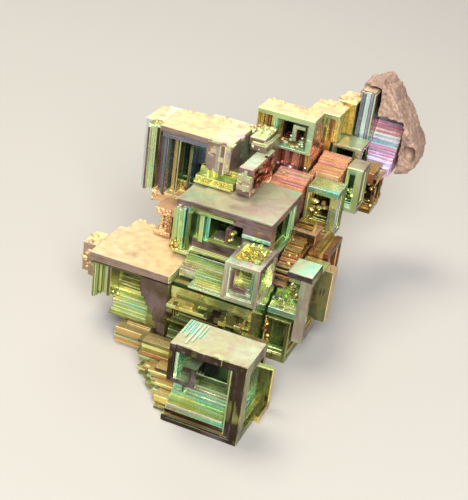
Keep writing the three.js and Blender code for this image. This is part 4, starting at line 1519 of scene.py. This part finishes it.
@dataclass
class EndGroup(Group):
    """The striped crystal at the far end."""

    front: float = 75.0
    rear: float = 86.0

    def end_hopper(self) -> Crystal:
        """The striped flight with its wall of grey bands."""
        stripes = Coat(
            (F.ICE, F.LILAC, F.ROSE, F.ICE, F.LILAC, F.MINT, F.LILAC, F.ICE, F.ROSE, F.ICE, F.LILAC, F.ICE),
            (F.LILAC, F.LAVENDER, F.ICE, F.ROSE, F.LILAC, F.BLUE), (F.ROSE, F.PEACH), spread=0.01,
        )
        bands = Coat(
            (F.BLUSH,), (F.SLATE, F.ICE, F.LAVENDER, F.SLATE, F.PEARL), (F.TAUPE,), skin=0.6, spread=0.01,
        )
        return Crystal("rose_film", (
            Flight((-4.6, 2.4), (self.front, self.rear), (24.5, 26.6, 35.9), stripes, 12, ragged=0.2),
            Block((-7, -4), (self.front + 1.2, self.rear), (30, 42.5), bands),
            Sheets((-7, -3.8), (self.front, self.rear), (30, 42.4), bands, 0, 7, {FRONT: 1.3, TOP: 0.3}),
        ))


@dataclass
class UndersideGroup(Group):
    """The foot and the column that carry the crystals above."""

    deep: Coat = Coat(
        (F.LIME, F.TEAL, F.BLUE, F.LAVENDER, F.GOLD), (F.OLIVE, F.SAGE, F.TEAL, F.LAVENDER, F.GOLD),
        (F.SAGE, F.TEAL, F.ROSE, F.GOLD), dark=0.3,
    )
    warm: Coat = Coat(
        (F.GOLD, F.PEACH, F.ROSE, F.LAVENDER), (F.AMBER, F.COPPER, F.ROSE, F.LAVENDER),
        (F.GOLD, F.COPPER, F.ROSE, F.BLUE), dark=0.3,
    )

    def rear_foot(self) -> Crystal:
        """The large block that the cluster stands on."""
        body = Coat((F.OLIVE,), (F.OLIVE,), (F.TAUPE,), rim_skin=0.1)
        return Crystal("olive_film", (
            Block((-29, -8.7), (37.5, 57), (0, 17.4), body),
            Hopper(LEFT, -29, 5.4, ((39, 55.5), (1.4, 16)), ((44, 50.6), (6, 11.6)), self.deep, 13),
            Hopper(BACK, 57, 3, ((-27.6, -10), (1.4, 7.2)), ((-24, -14), (2.8, 6)), self.deep, 7),
            Hopper(RIGHT, -8.7, 3, ((52.2, 56), (1.2, 16)), ((53.4, 54.8), (4, 13)), self.deep, 7),
        ))

    def rear_column(self) -> Crystal:
        """The block under the ridge."""
        body = Coat((F.GOLD,), (F.TAUPE,), (F.AMBER,), rim_skin=0.1)
        return Crystal("gold_film", (
            Block((-24, -9.5), (57.3, 71), (8, 21.7), body),
            Hopper(BACK, 71, 6, ((-22.8, -10.7), (9.2, 20.5)), ((-18.8, -14.6), (13, 16.8)), self.warm, 13),
            Hopper(LEFT, -24, 3.4, ((58.6, 69.2), (9.2, 20.5)), ((62, 65.8), (13, 16.8)), self.warm, 9),
            Hopper(RIGHT, -9.5, 2.6, ((59, 69.4), (9.2, 20.5)), ((62.4, 66), (12.6, 17.2)), self.warm, 8),
        ))


# ---------------------------------------------------------------- the melt crust


@dataclass(frozen=True)
class CrustFinish:
    """The dull, pitted skin of metal that froze in the open."""

    slot: str = "dull_crust"
    rough: float = 0.66

    def material(self) -> bpy.types.Material:
        """Builds the shader.

        Returns:
            The finished material.
        """
        graph = Graph(self.slot)
        place = graph.place()
        cloud = graph.noise(place, 0.25, 4.0, 0.4)
        grain = graph.noise(place, 2.4, 5.0)
        pores = graph.noise(place, 1.1, 3.0)
        stops = [
            (0.25, linear("6A5A54")),
            (0.42, linear("967A6C")),
            (0.56, linear("A68A78")),
            (0.75, linear("BEA48A")),
        ]
        colour = graph.node("ShaderNodeValToRGB", {"stops": stops}, {"Fac": cloud * 0.8 + grain * 0.2})
        # darker where the pores sink: painted shade in the pits
        colour = graph.mix("MULTIPLY", 1.0, colour, graph.grey((0.55 + pores * 0.9).clamp()))
        bump = graph.node(
            "ShaderNodeBump", {}, {"Strength": 0.6, "Distance": 0.2 * MM, "Height": grain + pores * 0.6}
        )
        shader = graph.node(
            "ShaderNodeBsdfPrincipled",
            {},
            {
                "Base Color": colour,
                "Roughness": (self.rough + (grain - 0.5) * 0.3).clamp(),
                "Metallic": (cloud * 0.5).clamp(),
                "Normal": bump,
            },
        )
        return graph.end(shader)


@dataclass
class MeltCrust:
    """The lumpy skin of melt that wraps the far end, grown from its CAD node's own shape."""

    node: str = "melt_crust"
    pitch: float = 0.22
    swell: float = 0.5
    hole: float = 1.5
    hole_place: tuple[float, float, float] = (5.3, 79.4, 30.2)
    finish: CrustFinish = CrustFinish()

    def build(self, zero: Vector) -> None:
        """Builds the crust and puts it in place of its CAD node.

        Args:
            zero: The cluster's zero in the frame.
        """
        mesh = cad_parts[self.node].data.copy()
        bm = bmesh.new()
        bm.from_mesh(mesh)
        bmesh.ops.remove_doubles(bm, verts=bm.verts, dist=0.001 * MM)
        bm.to_mesh(mesh)
        bm.free()
        mesh.transform(Matrix.Scale(1 / MM, 4) @ Matrix.Translation(-zero))
        base = add("crust_base", mesh)
        hole = Solid()
        ball = bmesh.ops.create_icosphere(hole.bm, subdivisions=2, radius=self.hole)["verts"]
        bmesh.ops.scale(hole.bm, vec=(0.8, 1.0, 1.3), verts=ball)
        bmesh.ops.translate(hole.bm, vec=self.hole_place, verts=ball)
        cut = base.modifiers.new("hole", "BOOLEAN")
        cut.solver = "MANIFOLD"
        cut.object = hole.finish("hole")
        grid = base.modifiers.new("grid", "REMESH")
        grid.mode = "VOXEL"
        grid.voxel_size = self.pitch
        soft = base.modifiers.new("soft", "SMOOTH")
        soft.factor = 0.6
        soft.iterations = 6
        for scale, strength in ((3.5, self.swell * 1.6), (0.9, self.swell * 1.5)):
            cloud = bpy.data.textures.new("lumps", "CLOUDS")
            cloud.noise_scale = scale
            cloud.noise_depth = 2
            swell = base.modifiers.new("swell", "DISPLACE")
            swell.texture = cloud
            swell.strength = strength
            swell.mid_level = 0.8
        made = grown(base)
        bpy.data.meshes.remove(cut.object.data)
        bpy.data.meshes.remove(mesh)
        made.polygons.foreach_set("use_smooth", [True] * len(made.polygons))
        hand_over(made, self.node, self.finish.slot, self.finish.material(), zero)


# ---------------------------------------------------------------- the stage


@dataclass(frozen=True)
class Lamp:
    """One square lamp that looks at the middle of the object."""

    name: str
    place: tuple[float, float, float]
    size: float
    watts: float
    tint: str
    target: tuple[float, float, float] = (0.0, 0.0, 0.02)

    def hang(self) -> None:
        """Hangs the lamp."""
        data = bpy.data.lights.new(self.name, "AREA")
        data.size = self.size
        data.energy = self.watts
        data.color = linear(self.tint)[:3]
        aim = (Vector(self.target) - Vector(self.place)).to_track_quat("-Z", "Y")
        add(self.name, data).matrix_world = Matrix.Translation(self.place) @ aim.to_matrix().to_4x4()


LAMPS = (
    Lamp("key", (-0.22, 0.05, 0.6), 0.3, 3.8, "FFF4E0"),
    Lamp("back", (-0.2, 0.6, 0.36), 0.5, 1.7, "F2F6FF"),
    Lamp("fill", (0.22, -0.5, 0.42), 0.42, 8.5, "FFFFFF"),
)


@dataclass
class Stage:
    """A pale floor, soft lights and the camera."""

    floor_size: float = 12.0
    floor_colour: tuple[float, ...] = (0.40, 0.385, 0.36, 1.0)
    room_colour: tuple[float, ...] = (0.75, 0.78, 0.82, 1.0)
    room_light: float = 0.22
    camera: Vector = field(default_factory=lambda: Vector((44.9, -147.8, 123.4)))
    azimuth: float = 18.8
    elevation: float = 28.6
    roll: float = 8.1
    lens: float = 79.2

    def floor(self) -> None:
        """Lays the floor."""
        bm = bmesh.new()
        bmesh.ops.create_grid(bm, x_segments=1, y_segments=1, size=self.floor_size / 2)
        bmesh.ops.translate(bm, vec=(0.0, 0.0, CAD_BOX[0][2]), verts=bm.verts)
        mesh = bpy.data.meshes.new("floor")
        bm.to_mesh(mesh)
        bm.free()
        graph = Graph("floor")
        shader = graph.node(
            "ShaderNodeBsdfPrincipled", {}, {"Base Color": self.floor_colour, "Roughness": 0.9}
        )
        mesh.materials.append(graph.end(shader))
        add("floor", mesh)

    def look(self, zero: Vector) -> None:
        """Places the camera.

        Args:
            zero: The cluster's zero in the frame.
        """
        turn = (
            Matrix.Rotation(math.radians(self.azimuth), 3, "Z")
            @ Matrix.Rotation(math.radians(90 - self.elevation), 3, "X")
            @ Matrix.Rotation(math.radians(self.roll), 3, "Z")
        )
        data = bpy.data.cameras.new("camera")
        data.lens = self.lens
        data.clip_start = 0.01
        camera = add("camera", data)
        camera.matrix_world = Matrix.Translation(zero + self.camera * MM) @ turn.to_4x4()
        bpy.context.scene.camera = camera

    def build(self, zero: Vector) -> None:
        """Builds the stage.

        Args:
            zero: The cluster's zero in the frame.
        """
        self.floor()
        self.look(zero)
        for lamp in LAMPS:
            lamp.hang()
        world = bpy.data.worlds.new("room")
        world.use_nodes = True
        room = world.node_tree.nodes["Background"].inputs
        room["Color"].default_value = self.room_colour
        room["Strength"].default_value = self.room_light
        bpy.context.scene.world = world
        bpy.context.scene.view_settings.view_transform = "Standard"


def main() -> None:
    """Builds the stage and every piece."""
    logging.basicConfig(level=logging.INFO, format="%(message)s")
    workshop = Workshop()
    Stage().build(workshop.zero)
    groups: tuple[Group, ...] = (
        FrontGroup(), LeftGroup(), MiddleGroup(), RightGroup(),
        UpperGroup(), SummitGroup(), EndGroup(), UndersideGroup(),
    )
    for group in groups:
        for node, crystal in group.crystals():
            workshop.build(node, crystal)
    MeltCrust().build(workshop.zero)


if __name__ == "__main__":
    main()
